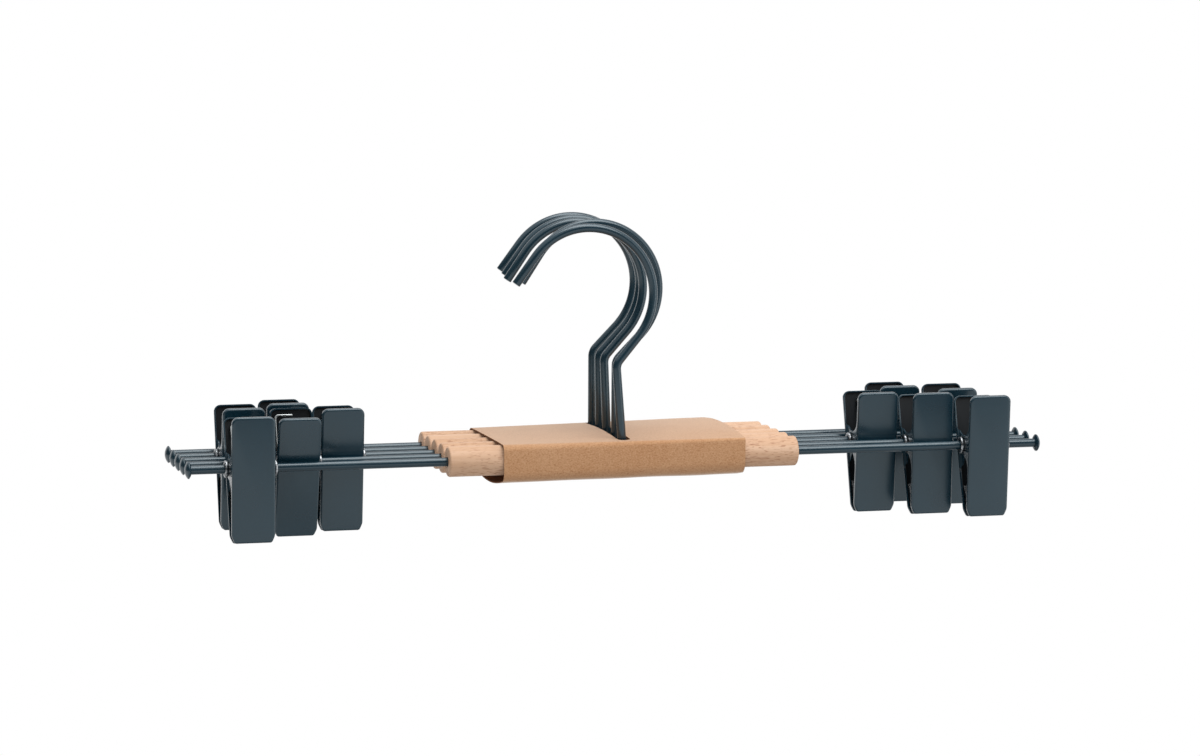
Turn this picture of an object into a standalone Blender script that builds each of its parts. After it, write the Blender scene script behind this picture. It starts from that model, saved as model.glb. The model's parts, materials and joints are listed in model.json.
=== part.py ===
"""Pack of five clip hangers held side by side by a folded card sleeve.

Each hanger is a straight wire bar through a beech dowel block, with a wire hook standing in
the block and two sprung clips that slide and swing on the bar. Metres, +Z up, +X along the
bars, +Y away from the front hanger. The origin is where a rail would touch the middle hook.
"""

import math

import bmesh
import bpy
from mathutils import Matrix, Vector

# Clearance that touching pieces keep
FIT_GAP = 0.0003

# Bar: one straight wire, upset to a domed head at each end
BAR_LENGTH = 0.403
BAR_RADIUS = 0.002
BAR_HEAD_RADIUS = 0.004
BAR_HEAD_THICKNESS = 0.0026
BAR_HEAD_RIM = 0.0012
BAR_HEAD_SHOULDER = 0.62
BAR_SIDES = 12

# Block: turned beech dowel, bored for the bar and for the hook's stem
BLOCK_LENGTH = 0.164
BLOCK_RADIUS = 0.00685
BLOCK_EASED_EDGE = 0.0008
BLOCK_SIDES = 20

# Hook: bent wire, with its heights measured from the bar's axis
HOOK_WIRE_RADIUS = 0.002
HOOK_WIRE_RESOLUTION = 2
HOOK_ARC_RADIUS = 0.0305
HOOK_ARC_HEIGHT = 0.0751
HOOK_ARC_OFFSET = 0.0107
HOOK_TIP_LENGTH = 0.0154
HOOK_SLANT_DEG = 45.9
HOOK_KINK_RADIUS = 0.006
HOOK_ARC_STEPS = 13
HOOK_KINK_STEPS = 3
STEM_HOLE_SIDES = 8

# Rivet: hollow eyelet that joins a clip's jaws and runs on the bar
RIVET_WALL = 0.0005
RIVET_HEAD_RADIUS = 0.0039
RIVET_HEAD_THICKNESS = 0.0019
RIVET_HEAD_ROLL = 0.0007
RIVET_SIDES = 10

# Jaw: pressed plate with a turned-in edge, two ears for the rivet and a ribbed grip pad
SHEET = 0.0007
JAW_WIDTH = 0.0196
HANDLE_LENGTH = 0.0245
NOSE_LENGTH = 0.0324
JAW_SPLAY_DEG = 10.3
FLANGE_DEPTH = 0.002
EDGE_ROLL = 0.0007
HANDLE_CORNER = 0.003
NOSE_CUT_WIDTH = 0.0014
NOSE_CUT_HEIGHT = 0.0032
EAR_WALL = 0.0016
EAR_ROOT_ABOVE = 0.0105
EAR_ROOT_BELOW = 0.0115
EAR_WAIST = 0.0022
EAR_WAIST_SHARE = 0.7
EAR_HOLE_SIDES = 8
PAD_TIP_THICKNESS = 0.00225
PAD_LENGTH = 0.0144
PAD_SIDE_GAP = 0.0005
PAD_TOOTH_PITCH = 0.002
PAD_TOOTH_DEPTH = 0.0006
PAD_TEETH = 4

# Spring: one wire, coiled round the rivet, with a leg behind each handle
SPRING_WIRE_RADIUS = 0.0006
SPRING_WIRE_RESOLUTION = 1
SPRING_COIL_WIDTH = 0.0096
SPRING_TURNS = 4
SPRING_POINTS_PER_TURN = 8
SPRING_LEG_DROP = 0.0032
SPRING_LEG_BEND = 0.0016
SPRING_LEG_REACH = 0.0079
SPRING_NEIGHBOUR_WIRES = 5

# Sleeve: kraft card band, crowned over the blocks and sagging below them, its middle a little
# to the left of the stems
CARD = 0.0005
SLEEVE_LENGTH = 0.1134
SLEEVE_SHIFT = -0.0008
SLEEVE_CROWN = 0.0028
SLEEVE_SAG = 0.0048
SLEEVE_TOP_FOLD = 0.0008
SLEEVE_LOWER_FOLD = 0.0035
SLEEVE_STEPS = 8
SLEEVE_FOLD_STEPS = 3
SLOT_SIDE_GAP = 0.001
SLOT_END_GAP = 0.0015
SLOT_END_STEPS = 4
GLUE_LAP_HEIGHT = 0.009

# Places of the clips: three columns on each side, with the clips of neighbours a column apart
OUTER_INSET = 0.0261
COLUMN_GAP = 0.001

# From the back hanger to the front one: lean of the hook to the right and end of its arc, both
# in degrees; column of the clips, 0 outermost; and for each clip how far it sits inward of its
# column, how far its handles lean to the front, in degrees, and where its spring lies between
# the ears, from -1 at the left to 1 at the right
HANGERS = (
    {
        "lean": 0.2, "arc": 143.5, "column": 1,
        "left": (0.0036, -2.6, 0.6), "right": (0.0021, -2.2, 0.7),
    },
    {
        "lean": -0.6, "arc": 144.3, "column": 0,
        "left": (0.0036, -2.4, 0.8), "right": (0.0012, -0.9, 0.5),
    },
    {
        "lean": -2.3, "arc": 143.5, "column": 2,
        "left": (0.001, -3.7, -0.7), "right": (-0.0009, -4.4, 0.3),
    },
    {
        "lean": 0.4, "arc": 147.2, "column": 1,
        "left": (0.0009, 4.5, -1.0), "right": (-0.0009, -8.3, 0.8),
    },
    {
        "lean": -4.4, "arc": 139.5, "column": 0,
        "left": (0.0009, -7.1, -0.4), "right": (-0.0009, -6.4, 0.9),
    },
)

# Sizes that follow from the ones above
HANGER_PITCH = 2 * BLOCK_RADIUS + FIT_GAP
MIDDLE_HANGER = len(HANGERS) // 2
BORE_RADIUS = BAR_RADIUS + FIT_GAP
RIVET_RADIUS = BORE_RADIUS + RIVET_WALL
RIVET_GRIP = JAW_WIDTH / 2 + FIT_GAP
RIVET_HALF_LENGTH = RIVET_GRIP + RIVET_HEAD_THICKNESS
COLUMN_PITCH = RIVET_HALF_LENGTH + JAW_WIDTH / 2 + COLUMN_GAP
OUTER_COLUMN = BAR_LENGTH / 2 - BAR_HEAD_THICKNESS - OUTER_INSET
EAR_HOLE_RADIUS = RIVET_RADIUS + FIT_GAP
EAR_RADIUS = EAR_HOLE_RADIUS + EAR_WALL
SPLAY = math.radians(JAW_SPLAY_DEG)
NOSE_TIP_Y = SHEET + PAD_TIP_THICKNESS + FIT_GAP / 2
FACE_DISTANCE = (NOSE_TIP_Y + NOSE_LENGTH * math.sin(SPLAY)) / math.cos(SPLAY)
INNER_EAR_OUTSIDE = JAW_WIDTH / 2 - SHEET - FIT_GAP
COIL_RADIUS = RIVET_RADIUS + FIT_GAP + SPRING_WIRE_RADIUS
COIL_END = SPRING_COIL_WIDTH / 2
COIL_PLAY = INNER_EAR_OUTSIDE - SHEET - FIT_GAP - SPRING_WIRE_RADIUS - COIL_END
SLEEVE_LEFT = SLEEVE_SHIFT - SLEEVE_LENGTH / 2
SLEEVE_HALF_DEPTH = MIDDLE_HANGER * HANGER_PITCH + BLOCK_RADIUS + FIT_GAP
SLEEVE_HALF_HEIGHT = BLOCK_RADIUS + FIT_GAP

MATERIALS = {
    "powder_coat": ((0.045, 0.067, 0.084), 0.42, 0.0),
    "beech": ((0.73, 0.48, 0.31), 0.55, 0.0),
    "zinc_plate": ((0.62, 0.64, 0.66), 0.28, 1.0),
    "kraft_card": ((0.52, 0.31, 0.17), 0.85, 0.0),
}


def remove_all():
    for thing in list(bpy.data.objects):
        bpy.data.objects.remove(thing, do_unlink=True)


def material(name):
    made = bpy.data.materials.get(name)
    if made is None:
        colour, roughness, metallic = MATERIALS[name]
        made = bpy.data.materials.new(name)
        made.use_nodes = True
        shader = made.node_tree.nodes["Principled BSDF"]
        shader.inputs["Base Color"].default_value = (*colour, 1.0)
        shader.inputs["Roughness"].default_value = roughness
        shader.inputs["Metallic"].default_value = metallic
    return made


def add_object(name, data, finish, parent=None, location=(0.0, 0.0, 0.0)):
    if not data.materials:
        data.materials.append(material(finish))
    piece = bpy.data.objects.new(name, data)
    bpy.context.scene.collection.objects.link(piece)
    piece.parent = parent
    piece.location = location
    return piece


def mesh_from(name, shape, smooth_angle=None):
    bmesh.ops.recalc_face_normals(shape, faces=shape.faces)
    mesh = bpy.data.meshes.new(name)
    shape.to_mesh(mesh)
    shape.free()
    if smooth_angle is not None:
        mesh.shade_smooth()
        mesh.set_sharp_from_angle(angle=math.radians(smooth_angle))
    return mesh


def turned(name, profile, sides, closed):
    """A shape turned about X from a profile of (x, radius) points."""
    shape = bmesh.new()
    points = [shape.verts.new((x, 0.0, radius)) for x, radius in profile]
    last = len(points) if closed else len(points) - 1
    edges = [shape.edges.new((points[i], points[(i + 1) % len(points)])) for i in range(last)]
    bmesh.ops.spin(
        shape,
        geom=points + edges,
        cent=(0.0, 0.0, 0.0),
        axis=(1.0, 0.0, 0.0),
        angle=math.tau,
        steps=sides,
        use_merge=True,
        use_duplicate=False,
    )
    bmesh.ops.remove_doubles(shape, verts=shape.verts, dist=0.00001)
    return mesh_from(name, shape, smooth_angle=35.0)


def prism(name, outline, start, depth):
    """A flat outline of 3-D points moved by start and pushed along depth."""
    shape = bmesh.new()
    corners = [shape.verts.new(Vector(point) + Vector(start)) for point in outline]
    face = shape.faces.new(corners)
    pushed = bmesh.ops.extrude_face_region(shape, geom=[face])
    moved = [item for item in pushed["geom"] if isinstance(item, bmesh.types.BMVert)]
    bmesh.ops.translate(shape, verts=moved, vec=depth)
    return mesh_from(name, shape)


def round_cutter(name, radius, length, sides):
    """A cylinder along Z whose flat sides, not its corners, lie at the radius."""
    shape = bmesh.new()
    across_corners = radius / math.cos(math.pi / sides)
    bmesh.ops.create_cone(
        shape,
        cap_ends=True,
        segments=sides,
        radius1=across_corners,
        radius2=across_corners,
        depth=length,
    )
    return mesh_from(name, shape)


def combined(name, base, steps, smooth_angle=None):
    """The base mesh after Boolean steps of (operation, mesh, matrix)."""
    scratch = [add_object(name + "_base", base, "powder_coat")]
    for number, (operation, mesh, matrix) in enumerate(steps):
        tool = add_object(f"{name}_tool_{number}", mesh, "powder_coat")
        tool.matrix_world = matrix
        scratch.append(tool)
        cut = scratch[0].modifiers.new(operation.lower(), "BOOLEAN")
        cut.operation = operation
        cut.solver = "EXACT"
        cut.object = tool
    bpy.context.view_layer.update()
    graph = bpy.context.evaluated_depsgraph_get()
    result = bpy.data.meshes.new_from_object(scratch[0].evaluated_get(graph))
    result.name = name
    result.materials.clear()
    for thing in scratch:
        bpy.data.objects.remove(thing, do_unlink=True)
    if smooth_angle is not None:
        result.shade_smooth()
        result.set_sharp_from_angle(angle=math.radians(smooth_angle))
    return result


def wire(name, points, radius, resolution, finish, parent=None, location=(0.0, 0.0, 0.0)):
    curve = bpy.data.curves.new(name, "CURVE")
    curve.dimensions = "3D"
    curve.bevel_depth = radius
    curve.bevel_resolution = resolution
    curve.use_fill_caps = True
    spline = curve.splines.new("POLY")
    spline.points.add(len(points) - 1)
    for point, place in zip(spline.points, points):
        point.co = (*place, 1.0)
        point.radius = 1.0
    return add_object(name, curve, finish, parent, location)


def leaned(x, z, lean_deg):
    """A point of a hook after the hook leans to the right about the bar's axis."""
    lean = math.radians(lean_deg)
    return (
        x * math.cos(lean) + z * math.sin(lean),
        z * math.cos(lean) - x * math.sin(lean),
    )


# Origin: the underside of the middle hook's arc
ARC_X, ARC_Z = leaned(-HOOK_ARC_OFFSET, HOOK_ARC_HEIGHT, HANGERS[MIDDLE_HANGER]["lean"])
BAR_X = -ARC_X
BAR_Z = -(ARC_Z + HOOK_ARC_RADIUS - HOOK_WIRE_RADIUS)


def hanger_y(number):
    return (MIDDLE_HANGER - number) * HANGER_PITCH


def bar_mesh():
    end = BAR_LENGTH / 2
    seat = end - BAR_HEAD_THICKNESS
    rim = seat + BAR_HEAD_RIM
    shoulder = (rim + 2 * end) / 3
    profile = [
        (end, 0.0),
        (shoulder, BAR_HEAD_SHOULDER * BAR_HEAD_RADIUS),
        (rim, BAR_HEAD_RADIUS),
        (seat, BAR_HEAD_RADIUS),
        (seat, BAR_RADIUS),
    ]
    other_end = [(-x, radius) for x, radius in reversed(profile)]
    return turned("bar", profile + other_end, BAR_SIDES, closed=False)


def block_mesh(lean_deg):
    end = BLOCK_LENGTH / 2
    edge = BLOCK_EASED_EDGE
    profile = [
        (end, BORE_RADIUS / math.cos(math.pi / BLOCK_SIDES)),
        (end, BLOCK_RADIUS - edge),
        (end - edge, BLOCK_RADIUS),
    ]
    other_end = [(-x, radius) for x, radius in reversed(profile)]
    blank = turned("block", profile + other_end, BLOCK_SIDES, closed=True)
    depth = 2 * BLOCK_RADIUS
    hole_radius = HOOK_WIRE_RADIUS + FIT_GAP
    stem_hole = round_cutter("stem_hole", hole_radius, depth, STEM_HOLE_SIDES)
    lean = Matrix.Rotation(math.radians(lean_deg), 4, "Y")
    place = lean @ Matrix.Translation((0.0, 0.0, depth / 2))
    return combined("block", blank, [("DIFFERENCE", stem_hole, place)], smooth_angle=35.0)


def hook_points(lean_deg, arc_end_deg):
    """Centreline of a hook about its bar's axis: stem, kink, slant, arc and tip."""
    centre_x, centre_z = -HOOK_ARC_OFFSET, HOOK_ARC_HEIGHT
    slant = math.radians(HOOK_SLANT_DEG)
    slant_end_x = centre_x + HOOK_ARC_RADIUS * math.sin(slant)
    slant_end_z = centre_z - HOOK_ARC_RADIUS * math.cos(slant)
    kink_height = slant_end_z - slant_end_x * math.tan(slant)
    turn = math.pi / 2 - slant
    setback = HOOK_KINK_RADIUS * math.tan(turn / 2)
    flat = [(0.0, BAR_RADIUS + FIT_GAP)]
    for step in range(HOOK_KINK_STEPS + 1):
        angle = turn * step / HOOK_KINK_STEPS
        flat.append(
            (
                HOOK_KINK_RADIUS * (1 - math.cos(angle)),
                kink_height - setback + HOOK_KINK_RADIUS * math.sin(angle),
            )
        )
    start = slant - math.pi / 2
    end = math.radians(arc_end_deg)
    for step in range(HOOK_ARC_STEPS + 1):
        angle = start + (end - start) * step / HOOK_ARC_STEPS
        flat.append(
            (
                centre_x + HOOK_ARC_RADIUS * math.cos(angle),
                centre_z + HOOK_ARC_RADIUS * math.sin(angle),
            )
        )
    tip_x, tip_z = flat[-1]
    flat.append(
        (tip_x - HOOK_TIP_LENGTH * math.sin(end), tip_z + HOOK_TIP_LENGTH * math.cos(end))
    )
    placed = [leaned(x, z, lean_deg) for x, z in flat]
    return [(x, 0.0, z) for x, z in placed]


def rivet_mesh():
    profile = [
        (RIVET_HALF_LENGTH, BORE_RADIUS),
        (RIVET_HALF_LENGTH, RIVET_HEAD_RADIUS - RIVET_HEAD_ROLL),
        (RIVET_HALF_LENGTH - RIVET_HEAD_ROLL, RIVET_HEAD_RADIUS),
        (RIVET_GRIP, RIVET_HEAD_RADIUS),
        (RIVET_GRIP, RIVET_RADIUS),
    ]
    other_end = [(-x, radius) for x, radius in reversed(profile)]
    return turned("rivet", profile + other_end, RIVET_SIDES, closed=True)


# Plate coordinates of the front jaw: x across, v up the plate, w out from the pivot
PLATE_FRAME = Matrix(
    (
        (1.0, 0.0, 0.0, 0.0),
        (0.0, -math.sin(SPLAY), -math.cos(SPLAY), 0.0),
        (0.0, math.cos(SPLAY), -math.sin(SPLAY), 0.0),
        (0.0, 0.0, 0.0, 1.0),
    )
)


def plate_outline():
    """Outline of the plate in x and v: round corners on the handle, cut ones on the nose."""
    side = JAW_WIDTH / 2
    points = []
    for turn_deg in (0.0, 45.0, 90.0):
        angle = math.radians(turn_deg)
        points.append(
            (
                side - HANDLE_CORNER * (1 - math.cos(angle)),
                HANDLE_LENGTH - HANDLE_CORNER * (1 - math.sin(angle)),
            )
        )
    left = [(-x, v) for x, v in reversed(points)]
    nose = [
        (-side, -NOSE_LENGTH + NOSE_CUT_HEIGHT),
        (-side + NOSE_CUT_WIDTH, -NOSE_LENGTH),
        (side - NOSE_CUT_WIDTH, -NOSE_LENGTH),
        (side, -NOSE_LENGTH + NOSE_CUT_HEIGHT),
    ]
    return points + left + nose


def plate_mesh():
    """Shallow pressed tray: rounded outer edge, flange turned in all round."""
    shape = bmesh.new()
    rim = FACE_DISTANCE - FLANGE_DEPTH
    corners = [shape.verts.new((x, v, rim)) for x, v in plate_outline()]
    floor = shape.faces.new(corners)
    pushed = bmesh.ops.extrude_face_region(shape, geom=[floor])["geom"]
    moved = [item for item in pushed if isinstance(item, bmesh.types.BMVert)]
    bmesh.ops.translate(shape, verts=moved, vec=(0.0, 0.0, FLANGE_DEPTH - EDGE_ROLL))
    bmesh.ops.recalc_face_normals(shape, faces=shape.faces)
    outer = max(shape.faces, key=lambda face: face.calc_center_median().z)
    inner = min(shape.faces, key=lambda face: face.calc_center_median().z)
    bmesh.ops.inset_region(shape, faces=[outer], thickness=EDGE_ROLL, depth=EDGE_ROLL)
    bmesh.ops.inset_region(shape, faces=[inner], thickness=SHEET)
    pocket = bmesh.ops.extrude_face_region(shape, geom=[inner])["geom"]
    bottom = [item for item in pocket if isinstance(item, bmesh.types.BMVert)]
    bmesh.ops.translate(shape, verts=bottom, vec=(0.0, 0.0, FLANGE_DEPTH - SHEET))
    bmesh.ops.delete(shape, geom=[inner], context="FACES_ONLY")
    return mesh_from("plate", shape)


def ear_outline():
    """Outline of an ear in v and w: waisted roots on the plate, round end past the rivet."""
    root = FACE_DISTANCE - SHEET / 2
    waist = FACE_DISTANCE - SHEET - EAR_WAIST
    points = [(EAR_ROOT_ABOVE, root), (EAR_WAIST_SHARE * EAR_ROOT_ABOVE, waist)]
    for turn_deg in (15.0, -37.5, -90.0, -142.5, -195.0):
        angle = math.radians(turn_deg)
        points.append((EAR_RADIUS * math.cos(angle), EAR_RADIUS * math.sin(angle)))
    points += [(-EAR_WAIST_SHARE * EAR_ROOT_BELOW, waist), (-EAR_ROOT_BELOW, root)]
    return points


def pad_outline():
    """Outline of the grip pad in v and w, from points in y and z of the closed clip."""
    to_plate = PLATE_FRAME.inverted()
    root = FACE_DISTANCE - SHEET / 2
    low = -NOSE_LENGTH + SHEET / 2
    high = -NOSE_LENGTH + PAD_LENGTH
    meeting_y = -FIT_GAP / 2
    first_z = (PLATE_FRAME @ Vector((0.0, low, root))).z + SHEET / 2
    points = [(low, root)]
    for step in range(2 * PAD_TEETH + 1):
        back = PAD_TOOTH_DEPTH if step % 2 else 0.0
        place = Vector((0.0, meeting_y - back, first_z + step * PAD_TOOTH_PITCH / 2))
        flat = to_plate @ place
        points.append((flat.y, flat.z))
    points += [(high, FACE_DISTANCE - 2 * SHEET), (high, root)]
    return points


def jaw_mesh():
    """The front jaw about its pivot. The rear jaw is the same pressing, turned round."""
    side = JAW_WIDTH / 2
    ear = [(0.0, v, w) for v, w in ear_outline()]
    outer_ear = prism("outer_ear", ear, (-side, 0.0, 0.0), (SHEET, 0.0, 0.0))
    inner_start = INNER_EAR_OUTSIDE - SHEET
    inner_ear = prism("inner_ear", ear, (inner_start, 0.0, 0.0), (SHEET, 0.0, 0.0))
    pad_side = side - SHEET - PAD_SIDE_GAP
    pad_points = [(0.0, v, w) for v, w in pad_outline()]
    pad = prism("pad", pad_points, (-pad_side, 0.0, 0.0), (2 * pad_side, 0.0, 0.0))
    hole = round_cutter("ear_hole", EAR_HOLE_RADIUS, 2 * JAW_WIDTH, EAR_HOLE_SIDES)
    here = Matrix.Identity(4)
    steps = [
        ("UNION", outer_ear, here),
        ("UNION", inner_ear, here),
        ("UNION", pad, here),
        ("DIFFERENCE", hole, Matrix.Rotation(math.pi / 2, 4, "Y")),
    ]
    mesh = combined("jaw", plate_mesh(), steps)
    mesh.transform(PLATE_FRAME)
    return mesh


def spring_points():
    """Wire of a spring about its rivet: front leg, coil and rear leg, the same turned round."""
    leg_w = FACE_DISTANCE - SHEET - FIT_GAP - SPRING_WIRE_RADIUS
    top_v = HANDLE_LENGTH - SPRING_LEG_DROP
    bend = SPRING_LEG_BEND
    half = bend * (1 - math.sqrt(0.5))
    flat = [
        (COIL_END - SPRING_LEG_REACH, top_v),
        (COIL_END - bend, top_v),
        (COIL_END - half, top_v - half),
        (COIL_END, top_v - bend),
    ]
    leg = [PLATE_FRAME @ Vector((x, v, leg_w)) for x, v in flat]
    corner_radius = COIL_RADIUS / math.cos(math.pi / SPRING_POINTS_PER_TURN)
    foot = leg[-1]
    reach = math.hypot(foot.y, foot.z)
    first = math.atan2(foot.z, foot.y) + math.acos(corner_radius / reach)
    last = math.pi - first + math.tau * (SPRING_TURNS + 1)
    steps = round((last - first) / math.tau * SPRING_POINTS_PER_TURN)
    coil = []
    for step in range(steps + 1):
        share = step / steps
        angle = first + (last - first) * share
        coil.append(
            Vector(
                (
                    COIL_END * (1 - 2 * share),
                    corner_radius * math.cos(angle),
                    corner_radius * math.sin(angle),
                )
            )
        )
    rear_leg = [Vector((-point.x, -point.y, point.z)) for point in reversed(leg)]
    return leg + coil + rear_leg


def least_gap(points, diameter):
    """Least clear gap of a wire to itself, between stretches that aren't neighbours."""
    walked = [0.0]
    for before, after in zip(points, points[1:]):
        walked.append(walked[-1] + (after - before).length)
    least = math.inf
    for i, first in enumerate(points):
        for j in range(i + 1, len(points)):
            if walked[j] - walked[i] > SPRING_NEIGHBOUR_WIRES * diameter:
                least = min(least, (points[j] - first).length - diameter)
    return least


def sleeve_outline(outward):
    """Section of the card in y and z, moved outward from its inner face."""
    points = []
    top = (1.0, SLEEVE_CROWN, SLEEVE_TOP_FOLD)
    bottom = (-1.0, SLEEVE_SAG, SLEEVE_LOWER_FOLD)
    for sign, bulge, fold in (top, bottom):
        flat = SLEEVE_HALF_DEPTH - fold
        corner = []
        for step in range(SLEEVE_FOLD_STEPS):
            angle = math.pi / 2 * step / SLEEVE_FOLD_STEPS
            y = flat + (fold + outward) * math.cos(angle)
            z = SLEEVE_HALF_HEIGHT - fold + (fold + outward) * math.sin(angle)
            corner.append((y, z))
        points += [(-sign * y, sign * z) for y, z in corner]
        for step in range(SLEEVE_STEPS + 1):
            share = 2 * step / SLEEVE_STEPS - 1
            rise = bulge * (1 - share * share)
            points.append((sign * share * flat, sign * (SLEEVE_HALF_HEIGHT + outward + rise)))
        points += [(sign * y, sign * z) for y, z in reversed(corner)]
    return points


def sleeve_band():
    """The folded band, open at both ends, before its slot is cut."""
    shape = bmesh.new()
    inner = [shape.verts.new((SLEEVE_LEFT, y, z)) for y, z in sleeve_outline(0.0)]
    outer = [shape.verts.new((SLEEVE_LEFT, y, z)) for y, z in sleeve_outline(CARD)]
    count = len(inner)
    ring = []
    for i in range(count):
        after = (i + 1) % count
        ring.append(shape.faces.new((inner[i], inner[after], outer[after], outer[i])))
    pushed = bmesh.ops.extrude_face_region(shape, geom=ring)["geom"]
    moved = [item for item in pushed if isinstance(item, bmesh.types.BMVert)]
    bmesh.ops.translate(shape, verts=moved, vec=(SLEEVE_LENGTH, 0.0, 0.0))
    return mesh_from("band", shape)


def slot_cutter():
    """Round-ended slot, long enough for the stems of every hook."""
    half_width = HOOK_WIRE_RADIUS + SLOT_SIDE_GAP
    reach = MIDDLE_HANGER * HANGER_PITCH + HOOK_WIRE_RADIUS + SLOT_END_GAP
    bottom = BLOCK_RADIUS
    outline = []
    for end in (1.0, -1.0):
        for step in range(SLOT_END_STEPS + 1):
            angle = (end - 1) * math.pi / 2 + math.pi * step / SLOT_END_STEPS
            centre = end * (reach - half_width)
            x = half_width * math.cos(angle)
            outline.append((x, centre + half_width * math.sin(angle), bottom))
    height = 2 * SLEEVE_CROWN + 2 * CARD
    return prism("slot", outline, (0.0, 0.0, 0.0), (0.0, 0.0, height))


def glue_lap():
    """Second layer of card where the band's ends are glued, up the back from the lower fold."""
    low = SLEEVE_LOWER_FOLD - SLEEVE_HALF_HEIGHT
    high = low + GLUE_LAP_HEIGHT
    inside, outside = SLEEVE_HALF_DEPTH + CARD / 2, SLEEVE_HALF_DEPTH + 2 * CARD
    outline = [(0.0, inside, low), (0.0, outside, low), (0.0, outside, high), (0.0, inside, high)]
    return prism("lap", outline, (SLEEVE_LEFT, 0.0, 0.0), (SLEEVE_LENGTH, 0.0, 0.0))


def sleeve_mesh():
    here = Matrix.Identity(4)
    steps = [("UNION", glue_lap(), here), ("DIFFERENCE", slot_cutter(), here)]
    return combined("sleeve", sleeve_band(), steps)


def add_clip(name, x, y, lean_deg, spring_place, meshes):
    """A clip on its pivot: rivet, spring and two jaws, leaning to the front at the top."""
    pivot = bpy.data.objects.new(name + "_pivot", None)
    bpy.context.scene.collection.objects.link(pivot)
    pivot.location = (x, y, BAR_Z)
    pivot.rotation_euler = (math.radians(lean_deg), 0.0, 0.0)
    add_object(name + "_rivet", meshes["rivet"], "zinc_plate", pivot)
    add_object(name + "_front_jaw", meshes["jaw"], "powder_coat", pivot)
    rear = add_object(name + "_rear_jaw", meshes["jaw"], "powder_coat", pivot)
    rear.rotation_euler = (0.0, 0.0, math.pi)
    along = Vector((spring_place * COIL_PLAY, 0.0, 0.0))
    points = [point + along for point in meshes["spring"]]
    size = (SPRING_WIRE_RADIUS, SPRING_WIRE_RESOLUTION)
    wire(name + "_spring", points, *size, "zinc_plate", pivot)


def add_hanger(number, plan, meshes):
    name = f"hanger_{number}"
    y = hanger_y(number - 1)
    place = (BAR_X, y, BAR_Z)
    add_object(name + "_bar", meshes["bar"], "powder_coat", location=place)
    add_object(name + "_block", block_mesh(plan["lean"]), "beech", location=place)
    points = hook_points(plan["lean"], plan["arc"])
    size = (HOOK_WIRE_RADIUS, HOOK_WIRE_RESOLUTION)
    wire(name + "_hook", points, *size, "powder_coat", location=place)
    column = OUTER_COLUMN - plan["column"] * COLUMN_PITCH
    for side, direction in (("left", -1.0), ("right", 1.0)):
        inward, lean, spring_place = plan[side]
        x = BAR_X + direction * (column - inward)
        add_clip(f"clip_{number}_{side}", x, y, lean, spring_place, meshes)


def build():
    remove_all()
    spring = spring_points()
    gap = least_gap(spring, 2 * SPRING_WIRE_RADIUS)
    print(f"Least gap of a spring to itself: {gap * 1000:.2f} mm")
    meshes = {"bar": bar_mesh(), "rivet": rivet_mesh(), "jaw": jaw_mesh(), "spring": spring}
    for index, plan in enumerate(HANGERS):
        add_hanger(index + 1, plan, meshes)
    add_object("card_sleeve", sleeve_mesh(), "kraft_card", location=(BAR_X, 0.0, BAR_Z))


build()
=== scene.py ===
# %% [markdown]
# # Looks of a pack of five clip hangers
# The real thing is five wire hangers in a folded card sleeve. Each has a powder-coated bar through
# a beech dowel, a bent wire hook, and two sprung metal clips that slide and swing on the bar.
# The sizes come from a fixed model, which this lesson loads first. Every piece is then drawn
# again with the roundness, wall thickness and surface of the real one, in the same place.

# %% Load the fixed model
import json
import math

import bmesh
import bpy
from mathutils import Matrix, Vector, noise

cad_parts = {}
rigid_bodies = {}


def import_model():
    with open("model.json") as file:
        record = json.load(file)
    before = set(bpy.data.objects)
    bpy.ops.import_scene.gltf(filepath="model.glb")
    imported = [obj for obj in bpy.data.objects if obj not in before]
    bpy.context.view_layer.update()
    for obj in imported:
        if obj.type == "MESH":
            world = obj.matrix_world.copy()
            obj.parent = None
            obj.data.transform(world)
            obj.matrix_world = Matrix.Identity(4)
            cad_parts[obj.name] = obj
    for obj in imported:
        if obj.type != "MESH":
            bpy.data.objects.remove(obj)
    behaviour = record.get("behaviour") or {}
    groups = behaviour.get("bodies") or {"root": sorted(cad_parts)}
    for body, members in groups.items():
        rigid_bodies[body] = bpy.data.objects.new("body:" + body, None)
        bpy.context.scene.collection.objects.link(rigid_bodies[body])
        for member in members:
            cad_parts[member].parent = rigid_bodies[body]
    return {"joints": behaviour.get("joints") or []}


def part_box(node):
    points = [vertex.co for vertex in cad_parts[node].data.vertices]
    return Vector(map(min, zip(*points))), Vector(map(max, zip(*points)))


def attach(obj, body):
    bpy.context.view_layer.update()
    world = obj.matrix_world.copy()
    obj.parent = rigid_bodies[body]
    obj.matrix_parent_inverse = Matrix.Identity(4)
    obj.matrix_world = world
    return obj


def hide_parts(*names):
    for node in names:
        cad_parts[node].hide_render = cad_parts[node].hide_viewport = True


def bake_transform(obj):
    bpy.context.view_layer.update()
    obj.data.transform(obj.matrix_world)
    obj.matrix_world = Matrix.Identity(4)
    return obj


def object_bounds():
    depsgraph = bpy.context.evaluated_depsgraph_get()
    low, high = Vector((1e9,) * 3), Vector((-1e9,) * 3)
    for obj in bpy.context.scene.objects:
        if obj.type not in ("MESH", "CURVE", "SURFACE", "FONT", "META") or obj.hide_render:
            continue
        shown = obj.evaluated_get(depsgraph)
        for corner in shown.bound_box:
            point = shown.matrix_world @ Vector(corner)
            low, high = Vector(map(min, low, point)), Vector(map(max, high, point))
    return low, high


for thing in list(bpy.data.objects):
    bpy.data.objects.remove(thing)

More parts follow.
